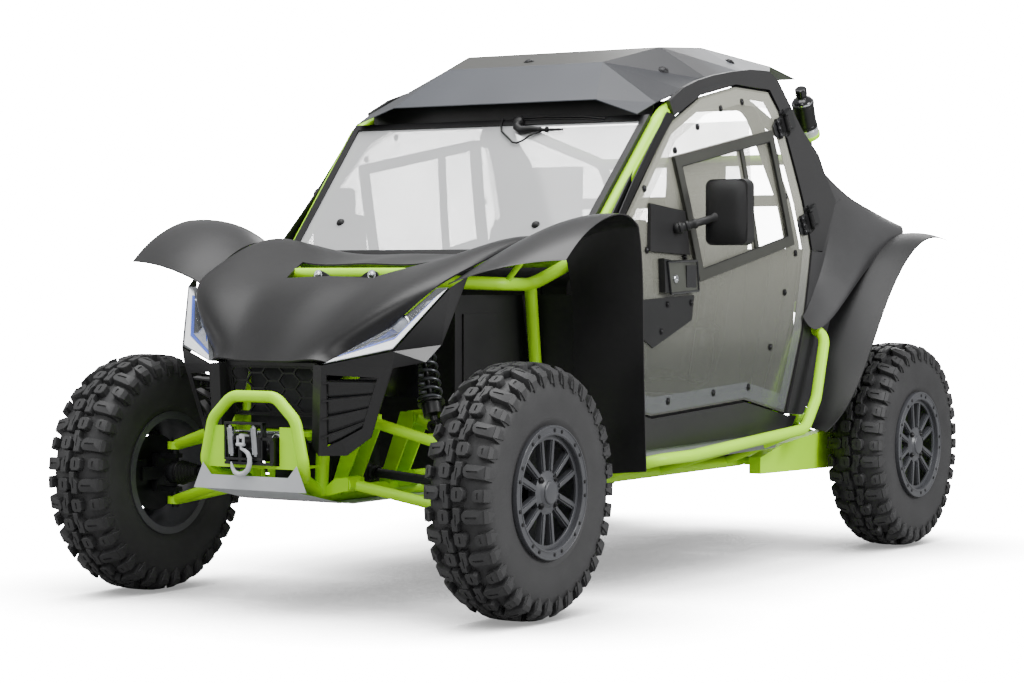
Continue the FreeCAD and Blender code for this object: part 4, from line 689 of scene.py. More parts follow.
# headlights: housing, light guide, light pipe, reflector and projector behind the clear lens

lamp = {"rim": [(209, -1542, 731), (384, -1450, 772), (481, -1306, 949), (445, -1312, 947),
                (333, -1398, 825)],
        "through": (-26, 60, -6)}
lampRim = [point(*corner) for corner in lamp["rim"]]
lampMiddle = sum(lampRim, Vector()) / len(lampRim)
lampInward = Vector(lamp["through"]).normalized()


def lampPoint(corner, share, depth):
    return lampRim[corner].lerp(lampMiddle, share) + lampInward * depth * mm


# a band that follows some corners of the lamp between two shares of the way to its middle
def addLampBand(shape, corners, outer, inner, front, back):
    count = len(corners)
    rows = [[lampPoint(c, share[k], depth) for k, c in enumerate(corners)]
            for share, depth in ((outer, front), (inner, front), (inner, back), (outer, back))]
    points = [p for row in rows for p in row]
    faces = [(0, count, 2 * count, 3 * count), (count - 1, 4 * count - 1, 3 * count - 1, 2 * count - 1)]
    for k in range(count - 1):
        for row in range(4):
            first, second = row * count, (row + 1) % 4 * count
            faces.append((first + k, first + k + 1, second + k + 1, second + k))
    addPart(shape, points, faces)


housing = newShape()
rings = [[lampPoint(c, share, depth) for c in range(5)]
         for share, depth in ((0.015, 1), (0.015, 63), (0.09, 61), (0.09, 34), (0.5, 30), (0.5, 58))]
ringFaces = [face for row in range(5) for face in bridge(5 * row, 5 * row + 5, 5)]
addPart(housing, [p for ring in rings for p in ring], ringFaces + [tuple(range(25, 30)), tuple(range(5, 10))])
guide = newShape()
addLampBand(guide, [0, 1, 2], [0.03, 0.05, 0.03], [0.14, 0.4, 0.22], 2, 16)
pipe = newShape()
addLampBand(pipe, [0, 1, 2], [0.18, 0.43, 0.25], [0.22, 0.5, 0.3], 6, 14)
reflector = newShape()
reflectorOutline = [lampPoint(0, 0.24, 14), lampPoint(0, 0.62, 26), lampMiddle + lampInward * 0.036,
                    lampPoint(1, 0.55, 24), lampPoint(1, 0.52, 12)]
addPrism(reflector, reflectorOutline, lampInward * 0.003)
upperOutline = [lampPoint(2, 0.34, 12), lampPoint(2, 0.55, 22), lampPoint(3, 0.72, 26), lampPoint(3, 0.4, 16)]
addPrism(reflector, upperOutline, lampInward * 0.003)
accent = newShape()
accentOutline = [lampPoint(4, 0.3, 10), lampPoint(4, 0.75, 18), lampPoint(0, 0.68, 18), lampPoint(0, 0.5, 12)]
addPrism(accent, accentOutline, lampInward * 0.003)
shroud = newShape()
shroudOutline = [lampPoint(3, 0.1, 6), lampPoint(3, 0.5, 12), lampPoint(4, 0.5, 12), lampPoint(4, 0.1, 6)]
addPrism(shroud, shroudOutline, lampInward * 0.012)
projectorFoot = lampMiddle + lampInward * 0.05
projectorAxis = Vector((0.28, -0.95, 0.05)).normalized()
bezel = newShape()
addTurned(bezel, projectorFoot, projectorAxis, [(-0.004, 0.02), (0.012, 0.03), (0.02, 0.033), (0.021, 0.029),
                                                (0.012, 0.026), (0.004, 0.012)], 40)
projector = newShape()
addTurned(projector, projectorFoot, projectorAxis,
          [(0.01, 0.0265)] + [(0.01 + 0.022 * math.sin(t), 0.0265 * math.cos(t))
                              for t in (0.25, 0.5, 0.75, 1.0, 1.25, 1.45, 1.56)], 40)
# projector glass: its blue-grey is a painted haze of studio light
lampLensCap = clearSheet("projectorGlass", "#c3cad6", "#c3cad6", 0.62, 0.05)
lampParts = {
    "housing": (housing, glossBlack, "black_plastic", 0), "guide": (guide, lightGuide, "lamp_lens", 0.0008),
    "pipe": (pipe, blueLightPipe, "lamp_lens", 0),
    "reflector": (reflector, metallisedReflector, "winch_metal", 0),
    "accent": (accent, blueLightPipe, "lamp_lens", 0), "shroud": (shroud, glossBlack, "black_plastic", 0.002),
    "bezel": (bezel, metallisedReflector, "winch_metal", 0),
    "projector": (projector, lampLensCap, "lamp_lens", 0)}
for side, turnOver in (("left", sameShape), ("right", mirroredShape)):
    for part, (shape, finish, slot, bevel) in lampParts.items():
        addPiece(f"lamp_{part}_{side}", turnOver(shape), finish, "chassis", bevel)
# the ducts behind the fins at each side of the fascia end in a closed dark plate
finLiner = newShape()
finCorners = [(190, -1505, 684), (333, -1426, 690), (292, -1422, 552), (236, -1460, 514), (192, -1498, 497)]
addPrism(finLiner, [point(*corner) for corner in finCorners], (-0.0008, 0.0018, 0))
for side, shape in (("left", finLiner), ("right", mirroredShape(finLiner))):
    addPiece(f"fin_liner_{side}", shape, glossBlack, "chassis")
noseLiner = newShape()
addBox(noseLiner, (-0.37, -1.3, 0.63), (0.37, -1.298, 0.86))
addPiece("nose_liner", noseLiner, glossBlack, "chassis")
print("headlights made")


# springs: wound wire on a damper body, with perches, reservoir and eyes

spring = {"wire": 0.0052, "coil": 0.0345, "turns": 8.0, "body": 0.023, "shaft": 0.008, "resolution": 20}
shockEnds = {"front": (point(385.6, -1233.5, 543.5), point(226, -1125, 941)),
             "rear": (point(562, 990, 450.6), point(490, 830, 829.7))}


def buildSpring(tree, given):
    spiral = addNode(tree, "GeometryNodeCurveSpiral", {"Resolution": spring["resolution"]}, {
        "Rotations": given["Turns"], "Start Radius": given["Coil radius"], "End Radius": given["Coil radius"],
        "Height": given["Length"]})
    wire = addNode(tree, "GeometryNodeCurvePrimitiveCircle", {"Resolution": 8},
                   {"Radius": given["Wire radius"]})
    swept = addNode(tree, "GeometryNodeCurveToMesh", {"Fill Caps": True},
                    {"Curve": spiral.outputs["Curve"], "Profile Curve": wire.outputs["Curve"]})
    return swept.outputs["Mesh"]


springTree = newGeometryTree("woundSpring", {
    "Turns": ("NodeSocketFloat", 8.0), "Coil radius": ("NodeSocketFloat", 0.03),
    "Length": ("NodeSocketFloat", 0.2),
    "Wire radius": ("NodeSocketFloat", 0.005), "Material": ("NodeSocketMaterial", None)}, buildSpring)
# silver-grey sprayed spring wire: satin, slightly dusty
springSteel = addGrain(newFinish("sprayedSpringSteel", "#4a4c50", 0.36, 0.6), 1.5, 0.03, "#434549", "#54565a",
                       30)
shockBodies = newShape()
coils = bmesh.new()
for low, high in shockEnds.values():
    for way in (1, -1):
        foot, top = toSide(low, way), toSide(high, way)
        reach = (top - foot).length
        axis = (top - foot).normalized()
        addTurned(shockBodies, foot, axis, [
            (0.012, 0.012), (0.03, 0.012), (0.034, 0.03), (0.16 * reach, 0.03), (0.16 * reach, 0.041),
            (0.16 * reach + 0.006, 0.041), (0.16 * reach + 0.01, spring["shaft"]),
            (0.45 * reach, spring["shaft"]),
            (0.45 * reach, spring["body"]), (0.665 * reach, spring["body"]), (0.665 * reach, 0.041),
            (0.665 * reach + 0.008, 0.041), (0.665 * reach + 0.014, 0.027), (0.7 * reach, 0.0255),
            (0.72 * reach, 0.0275), (0.76 * reach, 0.0275), (0.78 * reach, 0.0255), (0.9 * reach, 0.0255),
            (0.92 * reach, 0.02), (reach - 0.012, 0.014)], 28)
        for end in (foot, top):
            addTurned(shockBodies, end - Vector((0, 0.017, 0)), (0, 1, 0),
                      [(0, 0.009), (0, 0.019), (0.034, 0.019), (0.034, 0.009)], 24, closed=True)
        coilLength = 0.49 * reach
        wound = grown("coil", bpy.data.meshes.new("coilSeed"), springTree, {
            "Turns": spring["turns"], "Coil radius": spring["coil"], "Length": coilLength,
            "Wire radius": spring["wire"], "Material": springSteel})
        wound.transform(Matrix.Translation(foot + axis * (0.16 * reach + 0.01)) @
                        Vector((0, 0, 1)).rotation_difference(axis).to_matrix().to_4x4())
        coils.from_mesh(wound)
for face in coils.faces:
    face.smooth = True
coilMesh = bpy.data.meshes.new("shockCoils")
bmesh.ops.recalc_face_normals(coils, faces=coils.faces)
coils.to_mesh(coilMesh)
coils.free()
coilMesh.materials.append(springSteel)
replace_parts(pieceFromMesh("shock_springs", coilMesh, "chassis"), "shocks")
addPiece("shock_bodies", shockBodies, blackCoat, "chassis", 0.0008)
print("springs wound")


# ribbed boots on the half shafts

boot = {"ribs": 6, "depth": 0.005, "steps": 4}
shafts = [(point(95, -1250, 409), point(582, -1250, 369), 0.040),
          (point(100, 1250, 409), point(538, 1250, 369), 0.042)]


def addBoot(shape, start, axis, length, wide, narrow):
    profile = [(0, 0.012), (0, wide + 0.002), (0.008, wide + 0.002)]
    steps = boot["ribs"] * boot["steps"]
    for step in range(steps + 1):
        share = step / steps
        swell = 0.5 - 0.5 * math.cos(share * boot["ribs"] * math.tau)
        profile.append((0.01 + share * (length - 0.02),
                        wide + (narrow - wide) * share + 0.001 + swell * boot["depth"]))
    profile += [(length - 0.008, narrow + 0.003), (length, narrow + 0.003), (length, 0.012)]
    addTurned(shape, start, axis, profile, 36)


boots = newShape()
for inner, outer, wide in shafts:
    for way in (1, -1):
        near, far = toSide(inner, way), toSide(outer, way)
        run = far - near
        addBoot(boots, near, run, run.length * 0.2, wide, 0.018)
        addBoot(boots, far - run * 0.03, -run, run.length * 0.17, wide - 0.006, 0.017)
addPiece("shaft_boots", boots, sealRubber, "chassis", 0, 60)
print("boots ribbed")


# places on a node's surface, found along a line, with the way the surface faces

trees = {}


def onSurface(node, start, toward):
    if node not in trees:
        mesh = nodes[node].data
        trees[node] = BVHTree.FromPolygons([v.co for v in mesh.vertices],
                                           [tuple(f.vertices) for f in mesh.polygons])
    direction = (Vector(toward) - Vector(start)).normalized()
    place, normal, face, distance = trees[node].ray_cast(Vector(start), direction)
    if place is None:
        raise ValueError(f"nothing of {node} at {tuple(start)}")
    return place, normal if normal.dot(direction) < 0 else -normal


def below(node, x, y):
    return onSurface(node, point(x, y, 3000), point(x, y, 0))


# winch: rollers, drum, hook and rods

winch = {"rollers": (-66, 20), "rollerRadius": 0.0105, "face": -1.6165, "low": 0.463, "high": 0.552}
rollers = newShape()
for x in winch["rollers"]:
    start = Vector((x * mm + 0.004, winch["face"], winch["low"]))
    axis = Vector((-0.008, 0, winch["high"] - winch["low"]))
    long = axis.length
    thick = winch["rollerRadius"]
    profile = capped((0, 0.006), (0.006, 0.006), (0.006, thick), (long - 0.006, thick), (long - 0.006, 0.006),
                     (long, 0.006))
    addTurned(rollers, start, axis, profile, 24)
for z in (0.484, 0.532):
    addTube(rollers, [(-0.11, -1.575, z), (0.12, -1.575, z)], 0.0045, 12)
addTurned(rollers, (0.07, -1.572, 0.508), (0, -1, 0), capped((0, 0.022), (0.006, 0.022), (0.009, 0.018)), 24)
addPiece("winch_rollers", rollers, polishedAluminium, "chassis", 0.0006)
drum = newShape()
ridges = [(0.001 + 0.0029 * k, 0.041 + (0.0018 if k % 2 else 0)) for k in range(40)]
addTurned(drum, (-0.058, -1.538, 0.487), (1, 0, 0), [(0, 0.03), *ridges, (0.117, 0.03)], 28)
winchPlates = [((-0.088, -1.622, 0.5545), (0.05, -1.6, 0.562)),
               ((-0.088, -1.622, 0.452), (0.05, -1.6, 0.459)),
               ((-0.09, -1.62, 0.452), (-0.083, -1.6, 0.56)), ((0.043, -1.62, 0.452), (0.05, -1.6, 0.56))]
for low, high in winchPlates:
    addBox(drum, low, high)
addPiece("winch_drum_and_frame", drum, blackCoat, "chassis", 0.001)
hook = newShape()
hookPath = [(-20, 500), (-17, 486), (-6, 482), (6, 474), (13, 460), (13, 444), (7, 427), (-6, 416),
            (-26, 412), (-42, 418), (-50, 430), (-55, 447)]
hookWidths = [5, 6, 7, 8, 9, 9.5, 10, 10, 9.5, 8.5, 7, 2.5]
addTube(hook, [(x * mm, -1.631, z * mm) for x, z in hookPath], [w * 0.78 * mm for w in hookWidths], 14)
addTube(hook, [(-0.03, -1.631, 0.497), (-0.03, -1.631, 0.523)], 0.004, 12)
addTube(hook, [(-0.01, -1.631, 0.497), (-0.01, -1.631, 0.523)], 0.004, 12)
addTube(hook, [(-0.034, -1.631, 0.498), (-0.006, -1.631, 0.498)], 0.005, 12)
addTube(hook, [(-0.02, -1.631, 0.522), (-0.02, -1.6, 0.52)], [0.007, 0.006], 12)
# forged hook under pale grey enamel
hookEnamel = addGrain(newFinish("forgedHookEnamel", "#b9bcc0", 0.38), 2.0, 0.05, "#b0b3b7", "#c3c6ca", 25)
addPiece("winch_hook", hook, hookEnamel, "chassis")
print("winch dressed")


# hood bracket: a dark folded plate between two bolts on the lime brace

hoodBracket = {"y": -1.125, "wall": 0.004}
bracketShape = newShape()
bracketOutline = [(-128, 962), (-118, 992), (-96, 1000), (-72, 990), (-56, 980), (56, 980), (72, 990),
                  (96, 1001), (118, 993), (130, 964), (96, 968), (-92, 967)]
addPrism(bracketShape, [(x * mm, hoodBracket["y"] - 0.024, z * mm) for x, z in bracketOutline],
         (0, hoodBracket["wall"], 0))
addPiece("hood_bracket", bracketShape, blackCoat, "chassis", 0.0015)
bracketBolts = [((x * mm, hoodBracket["y"] - 0.0245, 0.985), (0, -1, 0.1)) for x in (-102, 98)]
addScrews("hood_bracket_bolts", bracketBolts, zincPlate, "chassis", "winch_metal", 0.015, 0.011, 0.003, 0.9)


# windshield: two clamp bolts, wiper motor, its arm and cable

glassPlace, glassFacing = onSurface("windshield", point(0, -2000, 1250), point(0, 0, 1250))


def onGlass(x, z, lift=0.0):
    spot = point(x, 0, z)
    spot.y = glassPlace.y - glassFacing.z * (spot.z - glassPlace.z) / glassFacing.y
    return spot + glassFacing * lift


glassBolts = [onSurface("windshield", point(x, -2000, z), point(x, 0, z)) for x,
              z in ((-409, 1156), (354, 1140))]
addScrews("windshield_bolts", glassBolts, sealRubber, "chassis", "black_plastic", 0.014, 0.014, 0.006, 0.8)
wiper = newShape()
addTurned(wiper, onGlass(100, 1474, 0.002), (0, -0.75, 0.6),
          capped((0, 0.017), (0.022, 0.017), (0.026, 0.012)), 24)
addTube(wiper, [onGlass(100, 1478, 0.012), onGlass(104, 1455, 0.014), onGlass(124, 1446, 0.013),
                onGlass(160, 1450, 0.011), onGlass(200, 1448, 0.009), onGlass(279, 1447, 0.008)],
        [0.014, 0.015, 0.014, 0.011, 0.006, 0.0035], 12)
for x in (188, 214):
    addTurned(wiper, onGlass(x, 1448, 0.009), (1, 0, 0), capped((0, 0.009), (0.008, 0.009)), 16)
blade = [onGlass(60, 1492, 0.006), onGlass(200, 1494, 0.007), onGlass(330, 1490, 0.007),
         onGlass(420, 1480, 0.006)]
addTube(wiper, blade, 0.004, 10)
addTube(wiper, [p + Vector((0, -0.006, -0.008)) for p in blade], 0.0025, 8)
washerTube = [onGlass(26, 1490, 0.008), onGlass(28, 1472, 0.008), onGlass(44, 1448, 0.008),
              onGlass(83, 1425, 0.008),
              onGlass(110, 1409, 0.008), onGlass(127, 1406, 0.008), onGlass(146, 1414, 0.008),
              onGlass(162, 1430, 0.008), onGlass(194, 1443, 0.008)]
addTube(wiper, washerTube, 0.0035, 10)
addPiece("wiper", wiper, sealRubber, "chassis", 0, 60)
print("windshield dressed")


# visor liner: a dark panel that closes the gap between windshield and visor, partly trim and partly painted
# shade for the shaded underside of the roof

liner = newShape()
linerOutline = [(-546, 1472), (546, 1472), (548, 1526), (352, 1600), (-352, 1600), (-548, 1526)]
addPrism(liner, [(x * mm, -0.236, z * mm) for x, z in linerOutline], (0, 0.006, 0))
addPiece("visor_liner", liner, sealRubber, "chassis")
roofBolts = [below("roof", x, y) for x, y in ((446, 15), (-446, 15), (476, 427), (-476, 427), (-30, -62),
                                              (0, 330))]
addScrews("roof_bolts", [(place, facing) for place, facing in roofBolts], blackOxide, "chassis",
          "satin_black_metal",
          0.018, 0.015, 0.004, 0.55)


# doors: milky band round the sheet, its bolts, lock, hinge bolts, mirror plate and ball arm

door = {"outline": [(-688, 1019), (-221, 1464), (12, 1565), (266, 1614), (506, 1611), (565, 1549),
                    (690, 1241),
                    (738, 1071), (650, 793), (520, 513), (227, 569), (-404, 543), (-650, 589), (-698, 789)],
        "bandOuter": 7, "bandInner": 58, "bandStep": 45, "halfWidth": 640, "upright": 700, "arc": 14000,
        "bolts": [(-417, 1254), (-198, 1383), (-32, 1466), (142, 1535), (300, 1566), (521, 1393), (567, 1255),
                  (618, 1060),
                  (525, 925), (410, 740), (250, 610), (3, 600), (-300, 585), (-560, 625), (-640, 800),
                  (-640, 985), (-422, 1062), (-181, 1042)],
        "hinges": [(1510, 602), (1180, 733)]}


def sideAt(z):
    return door["halfWidth"] - (z - door["upright"]) ** 2 / door["arc"]


# a place that far outside the curved side, in metres
def onSide(y, z, out):
    return Vector(((sideAt(z) + out) * mm, y * mm, z * mm))


def insetOutline(outline, distance):
    area = sum(a[0] * b[1] - b[0] * a[1] for a, b in zip(outline, outline[1:] + outline[:1]))
    turn = 1 if area > 0 else -1
    result = []
    for k, corner in enumerate(outline):
        before, after = Vector(outline[k - 1]), Vector(outline[(k + 1) % len(outline)])
        here = Vector(corner)
        first, second = (here - before).normalized(), (after - here).normalized()
        normals = [Vector((-d.y, d.x)) * turn for d in (first, second)]
        across = (normals[0] + normals[1]).normalized()
        result.append(here + across * (distance / max(across.dot(normals[0]), 0.4)))
    return result


# a flat ring that follows the curved side between two insets of an outline
def sideRing(outline, outer, inner, proud, wall):
    shape = newShape()
    rims = [insetOutline(outline, outer), insetOutline(outline, inner)]
    rows = []
    for k in range(len(outline)):
        n = (k + 1) % len(outline)
        pieces = max(1, round((rims[0][n] - rims[0][k]).length / door["bandStep"]))
        for step in range(pieces):
            a, b = (rim[k].lerp(rim[n], step / pieces) for rim in rims)
            rows.append([onSide(p.x, p.y, out) for p, out in
                         ((a, proud), (b, proud), (b, proud + wall), (a, proud + wall))])
    count = len(rows)
    faces = []
    for k in range(count):
        n = (k + 1) % count
        faces += bridge(4 * k, 4 * n, 4)
    addPart(shape, [p for row in rows for p in row], faces)
    return shape


# the bonded edge of the sheet: frosted, paler than the clear part, with painted haze darker low down and
# paler high up
milkyBand = clearSheet("frostedEdgeBand", "#74777a", "#bdbdb0", 0.3, 0.2)
band = sideRing(door["outline"], door["bandOuter"], door["bandInner"], 0.2, 0.4)
windowCorners = [(-224, 1360), (482, 1478), (589, 1091), (-100, 965)]
gasket = sideRing(windowCorners, 31, 36, 11, 1.5)
windowTrim = sideRing(windowCorners, -2, 33, 12, 1.2)
# the body's rubber round the opening, inboard of the sheet, and the dark cover along the windshield pillar
openingSeal = sideRing(door["outline"], -44, -2, -24, 6)
pillarCover = newShape()
coverEdges = [[(-674, 1065), (-631, 1108), (-556, 1190), (-468, 1281), (-379, 1373), (-277, 1478),
               (-250, 1504)],
              [(-650, 1065), (-608, 1103), (-528, 1180), (-434, 1270), (-339, 1361), (-238, 1458),
               (-196, 1492)]]
coverPoints = [((max(sideAt(z) - 5, 609) + out) * mm, y * mm, z * mm)
               for out in (-4, 0) for edge in coverEdges for y, z in edge]
count = len(coverEdges[0])
coverFaces = []
for k in range(count - 1):
    coverFaces += [(k, count + k, count + k + 1, k + 1),
                   (2 * count + k, 2 * count + k + 1, 3 * count + k + 1, 3 * count + k),
                   (k, k + 1, 2 * count + k + 1, 2 * count + k),
                   (count + k, 3 * count + k, 3 * count + k + 1, count + k + 1)]
coverFaces += [(0, 2 * count, 3 * count, count), (count - 1, 2 * count - 1, 4 * count - 1, 3 * count - 1)]
addPart(pillarCover, coverPoints, coverFaces)
lockFrame = newShape()
lockOutline = [(-333, 1026), (-139, 1030), (-134, 934), (-318, 925)]
for a, b in zip(lockOutline, lockOutline[1:] + lockOutline[:1]):
    addTube(lockFrame, [onSide(*a, 23.5), onSide(*b, 23.5)], 0.004, 8)
addBox(lockFrame, ((sideAt(980) + 21) * mm, -0.215, 0.945), ((sideAt(980) + 26) * mm, -0.15, 1.015))
lockFace = newShape()
addPrism(lockFace, [onSide(y, z, 22.2) for y, z in lockOutline], (0.001, 0, 0))
lock = newShape()
addTurned(lock, ((sideAt(966) + 20) * mm, -0.285, 0.972), (1, 0, 0),
          capped((0, 0.013), (0.007, 0.013), (0.009, 0.010), (0.009, 0.006), (0.006, 0.005)), 28)
mirror = {"centre": (780, -150, 1184), "width": 150, "height": 210, "depth": 23, "steps": 12}


# a crowned shell over the mirror housing's front, and the glass on its back
def addMirrorShell(shape):
    cx, cy, cz = mirror["centre"]
    halfW, halfH, steps = mirror["width"] / 2 - 2, mirror["height"] / 2 - 2, mirror["steps"]
    points, faces = [], []
    for row in range(steps + 1):
        for column in range(steps + 1):
            u, v = 2 * column / steps - 1, 2 * row / steps - 1
            pull = 1 - 0.10 * (u * v) ** 2
            depth = 16 * (1 - u ** 4) * (1 - v ** 4) + 1
            points.append(((cx + halfW * u * pull) * mm, (cy - mirror["depth"] + 0.5 - depth) * mm,
                           (cz + halfH * v * pull) * mm))
    for row in range(steps):
        for column in range(steps):
            k = row * (steps + 1) + column
            faces.append((k, k + 1, k + steps + 2, k + steps + 1))
    addPart(shape, points, faces)


mirrorShell = newShape()
addMirrorShell(mirrorShell)
armFoot, armEnd = Vector((0.652, -0.25, 1.133)), Vector((0.742, -0.178, 1.166))
run = armEnd - armFoot
armProfile = capped(
    (0, 0.02), (0.006, 0.02), (0.012, 0.014), (0.02, 0.014), (0.024, 0.017), (0.03, 0.017), (0.034, 0.013),
    (0.045, 0.013), (0.05, 0.016), (0.056, 0.016), (0.062, 0.012), (run.length - 0.012, 0.012),
    (run.length, 0.02), (run.length + 0.01, 0.02))
addTurned(mirrorShell, armFoot, run, armProfile, 24)
mirrorGlass = newShape()
cornerCut, halfW, halfH = 18, mirror["width"] / 2 - 9, mirror["height"] / 2 - 9
glassCorners = []
for sx, sz, start in ((1, 1, 0), (-1, 1, 90), (-1, -1, 180), (1, -1, 270)):
    for k in range(7):
        turn = math.radians(start + 15 * k)
        across = mirror["centre"][0] + sx * (halfW - cornerCut) + cornerCut * math.cos(turn)
        up = mirror["centre"][2] + sz * (halfH - cornerCut) + cornerCut * math.sin(turn)
        glassCorners.append((across * mm, (mirror["centre"][1] + mirror["depth"] + 0.3) * mm, up * mm))
addPrism(mirrorGlass, glassCorners, (0, 0.0012, 0))
# smoked grey moulding of the lock's face
smokedFace = addGrain(newFinish("smokedLockFace", "#383a34", 0.4), 1.5, 0.02, "#353731", "#3d3f39", 60, 0.03)
# silvered glass: a clean mirror
silveredGlass = addGrain(newFinish("silveredGlass", "#dfe2e6", 0.03, 1.0), 20.0, 0.002, "#dadde1", "#e4e7ea",
                         60, 0.01)
hinge = {"proud": 13, "leafLevel": -7, "leafWall": 3.6, "boltLevel": -3.3, "boltAlong": -62,
         "boltRises": (-24, 0, 24),
         "leaf": [(-96, -20), (-96, 22), (-66, 34), (-28, 34), (-28, -34), (-66, -34)]}
pins = [Vector((sideAt(height) + hinge["proud"], along, height)) for height, along in door["hinges"]]
hingeLine = (pins[0] - pins[1]).normalized()
hingeTurn = Vector((0, 0, 1)).rotation_difference(hingeLine).to_matrix()
hingeSpots = []
leaves = newShape()
for pin in pins:
    addPrism(leaves, [(pin + hingeTurn @ Vector((hinge["leafLevel"], along, rise))) * mm for along,
                      rise in hinge["leaf"]],
             hingeTurn @ Vector((hinge["leafWall"] * mm, 0, 0)))
    for rise in hinge["boltRises"]:
        hingeSpots.append(((pin + hingeTurn @ Vector((hinge["boltLevel"], hinge["boltAlong"], rise))) * mm,
                           hingeTurn @ Vector((1, 0, 0))))
plateSpots = [(onSide(y, z, 4.3), Vector((1, 0, 0))) for y, z in ((-306, 891), (-150, 895), (-349, 806))]
boltSpots = [(onSide(y, z, 0.6), Vector((1, 0, (z - door["upright"]) / 7000))) for y, z in door["bolts"]]
doorParts = {
    "door_band": (band, milkyBand, "clear_sheet", 0),
    "door_opening_seal": (openingSeal, sealRubber, "seal_rubber", 0),
    "pillar_cover": (pillarCover, sealRubber, "seal_rubber", 0.001),
    "window_trim": (windowTrim, oliveFrame, "window_frame_metal", 0),
    "window_gasket": (gasket, sealRubber, "seal_rubber", 0),
    "hinge_leaves": (leaves, blackCoat, "satin_black_metal", 0.0008),
    "lock_frame": (lockFrame, glossBlack, "black_plastic", 0),
    "lock_face": (lockFace, smokedFace, "black_plastic", 0),
    "lock": (lock, zincPlate, "winch_metal", 0),
    "mirror_shell": (mirrorShell, texturedPlastic, "black_plastic", 0),
    "mirror_glass": (mirrorGlass, silveredGlass, "winch_metal", 0)}
# washer radius, head radius, washer height and head flatness of the door's screws
doorScrews = {"door_bolts": (boltSpots, (0.0115, 0.009, 0.005, 0.8)),
              "hinge_bolts": (hingeSpots, (0.013, 0.0115, 0.009, 0.9)),
              "latch_bolts": (plateSpots, (0.011, 0.0085, 0.003, 0.7))}
for side, turnOver in (("left", sameShape), ("right", mirroredShape)):
    for part, (shape, finish, slot, bevel) in doorParts.items():
        body = "chassis" if part in ("door_opening_seal", "pillar_cover") else f"door_{side}"
        addPiece(f"{part}_{side}", turnOver(shape), finish, body, bevel)
    for part, (spots, sizes) in doorScrews.items():
        turned = spots if side == "left" else mirroredSpots(spots)
        addScrews(f"{part}_{side}", turned, blackOxide, f"door_{side}", "satin_black_metal", *sizes)
print("doors dressed")


# canister: black cap and neck, bright body with dark sleeve, grey foot and lime ring

canister = {"top": (452, 1018, 1661), "axis": (-0.12, 0.55, -0.82)}
canTop, canAxis = point(*canister["top"]), Vector(canister["axis"]).normalized()
canParts = {
    "cap": (glossBlack, "black_plastic", capped(
        (0, 0.018), (0.004, 0.022), (0.028, 0.022), (0.032, 0.019), (0.038, 0.019), (0.042, 0.024),
        (0.048, 0.034), (0.054, 0.037))),
    "body": (polishedAluminium, "canister_metal", capped((0.052, 0.036), (0.058, 0.038), (0.17, 0.038))),
    "sleeve": (blackCoat, "canister_metal", [(0.07, 0.034), (0.07, 0.0396), (0.15, 0.0396), (0.15, 0.034)]),
    "foot": (silverCoat, "canister_metal", capped((0.168, 0.042), (0.192, 0.042))),
    "ring": (limeCoat, "green_paint", capped((0.19, 0.046), (0.203, 0.046), (0.206, 0.043)))}
for part, (material, slot, profile) in canParts.items():
    shape = newShape()
    addTurned(shape, canTop, canAxis, profile, 40, closed=part == "sleeve")
    piece = addPiece(f"canister_{part}", shape, material, "chassis", 0.0008)
    if part == "body":
        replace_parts(piece, "canister")
holder = newShape()
addTube(holder, [canTop + canAxis * 0.2, point(440, 1120, 1410)], 0.014, 16)
for along in (0.064, 0.156):
    addTurned(holder, canTop + canAxis * (along - 0.005), canAxis,
              [(0, 0.037), (0, 0.0415), (0.01, 0.0415), (0.01, 0.037)], 40,
              closed=True)
addPiece("canister_holder", holder, blackCoat, "chassis")
print("canister made")


# cab: dark panels behind the seats and beside them that close the view into the bed and the frame

cabPanels = newShape()
wallOutline = [(-510, 392), (510, 392), (530, 620), (520, 985), (-520, 985), (-530, 620)]
addPrism(cabPanels, [(x * mm, 0.606, z * mm) for x, z in wallOutline], (0, 0.004, 0))
for way in (1, -1):
    linerCorners = [(480, 480), (700, 540), (790, 760), (800, 1060), (610, 1060), (606, 985), (470, 620)]
    addPrism(cabPanels, [(way * 0.536, y * mm, z * mm) for y, z in linerCorners], (way * 0.003, 0, 0))
addPiece("cab_panels", cabPanels, texturedPlastic, "chassis")
print("cab panelled")


# seats: moulded shells on plastic risers, with puffed vinyl cushions sewn in channels

# black vinyl over foam, matte with a fine leather grain
seatVinyl = addGrain(newFinish("seatVinyl", "#1b1b1d", 0.48, Sheen_Weight=0.2), 1.8, 0.15, "#18181a",
                     "#212123", 120)
seat = {"voxel": 0.006, "pressure": 4, "frames": 20, "cap": 0.026, "seam": 0.004, "fade": 0.022}


def smoothSkin(piece):
    finer = piece.modifiers.new("smooth", "SUBSURF")
    finer.levels = 1
    finer.render_levels = 1


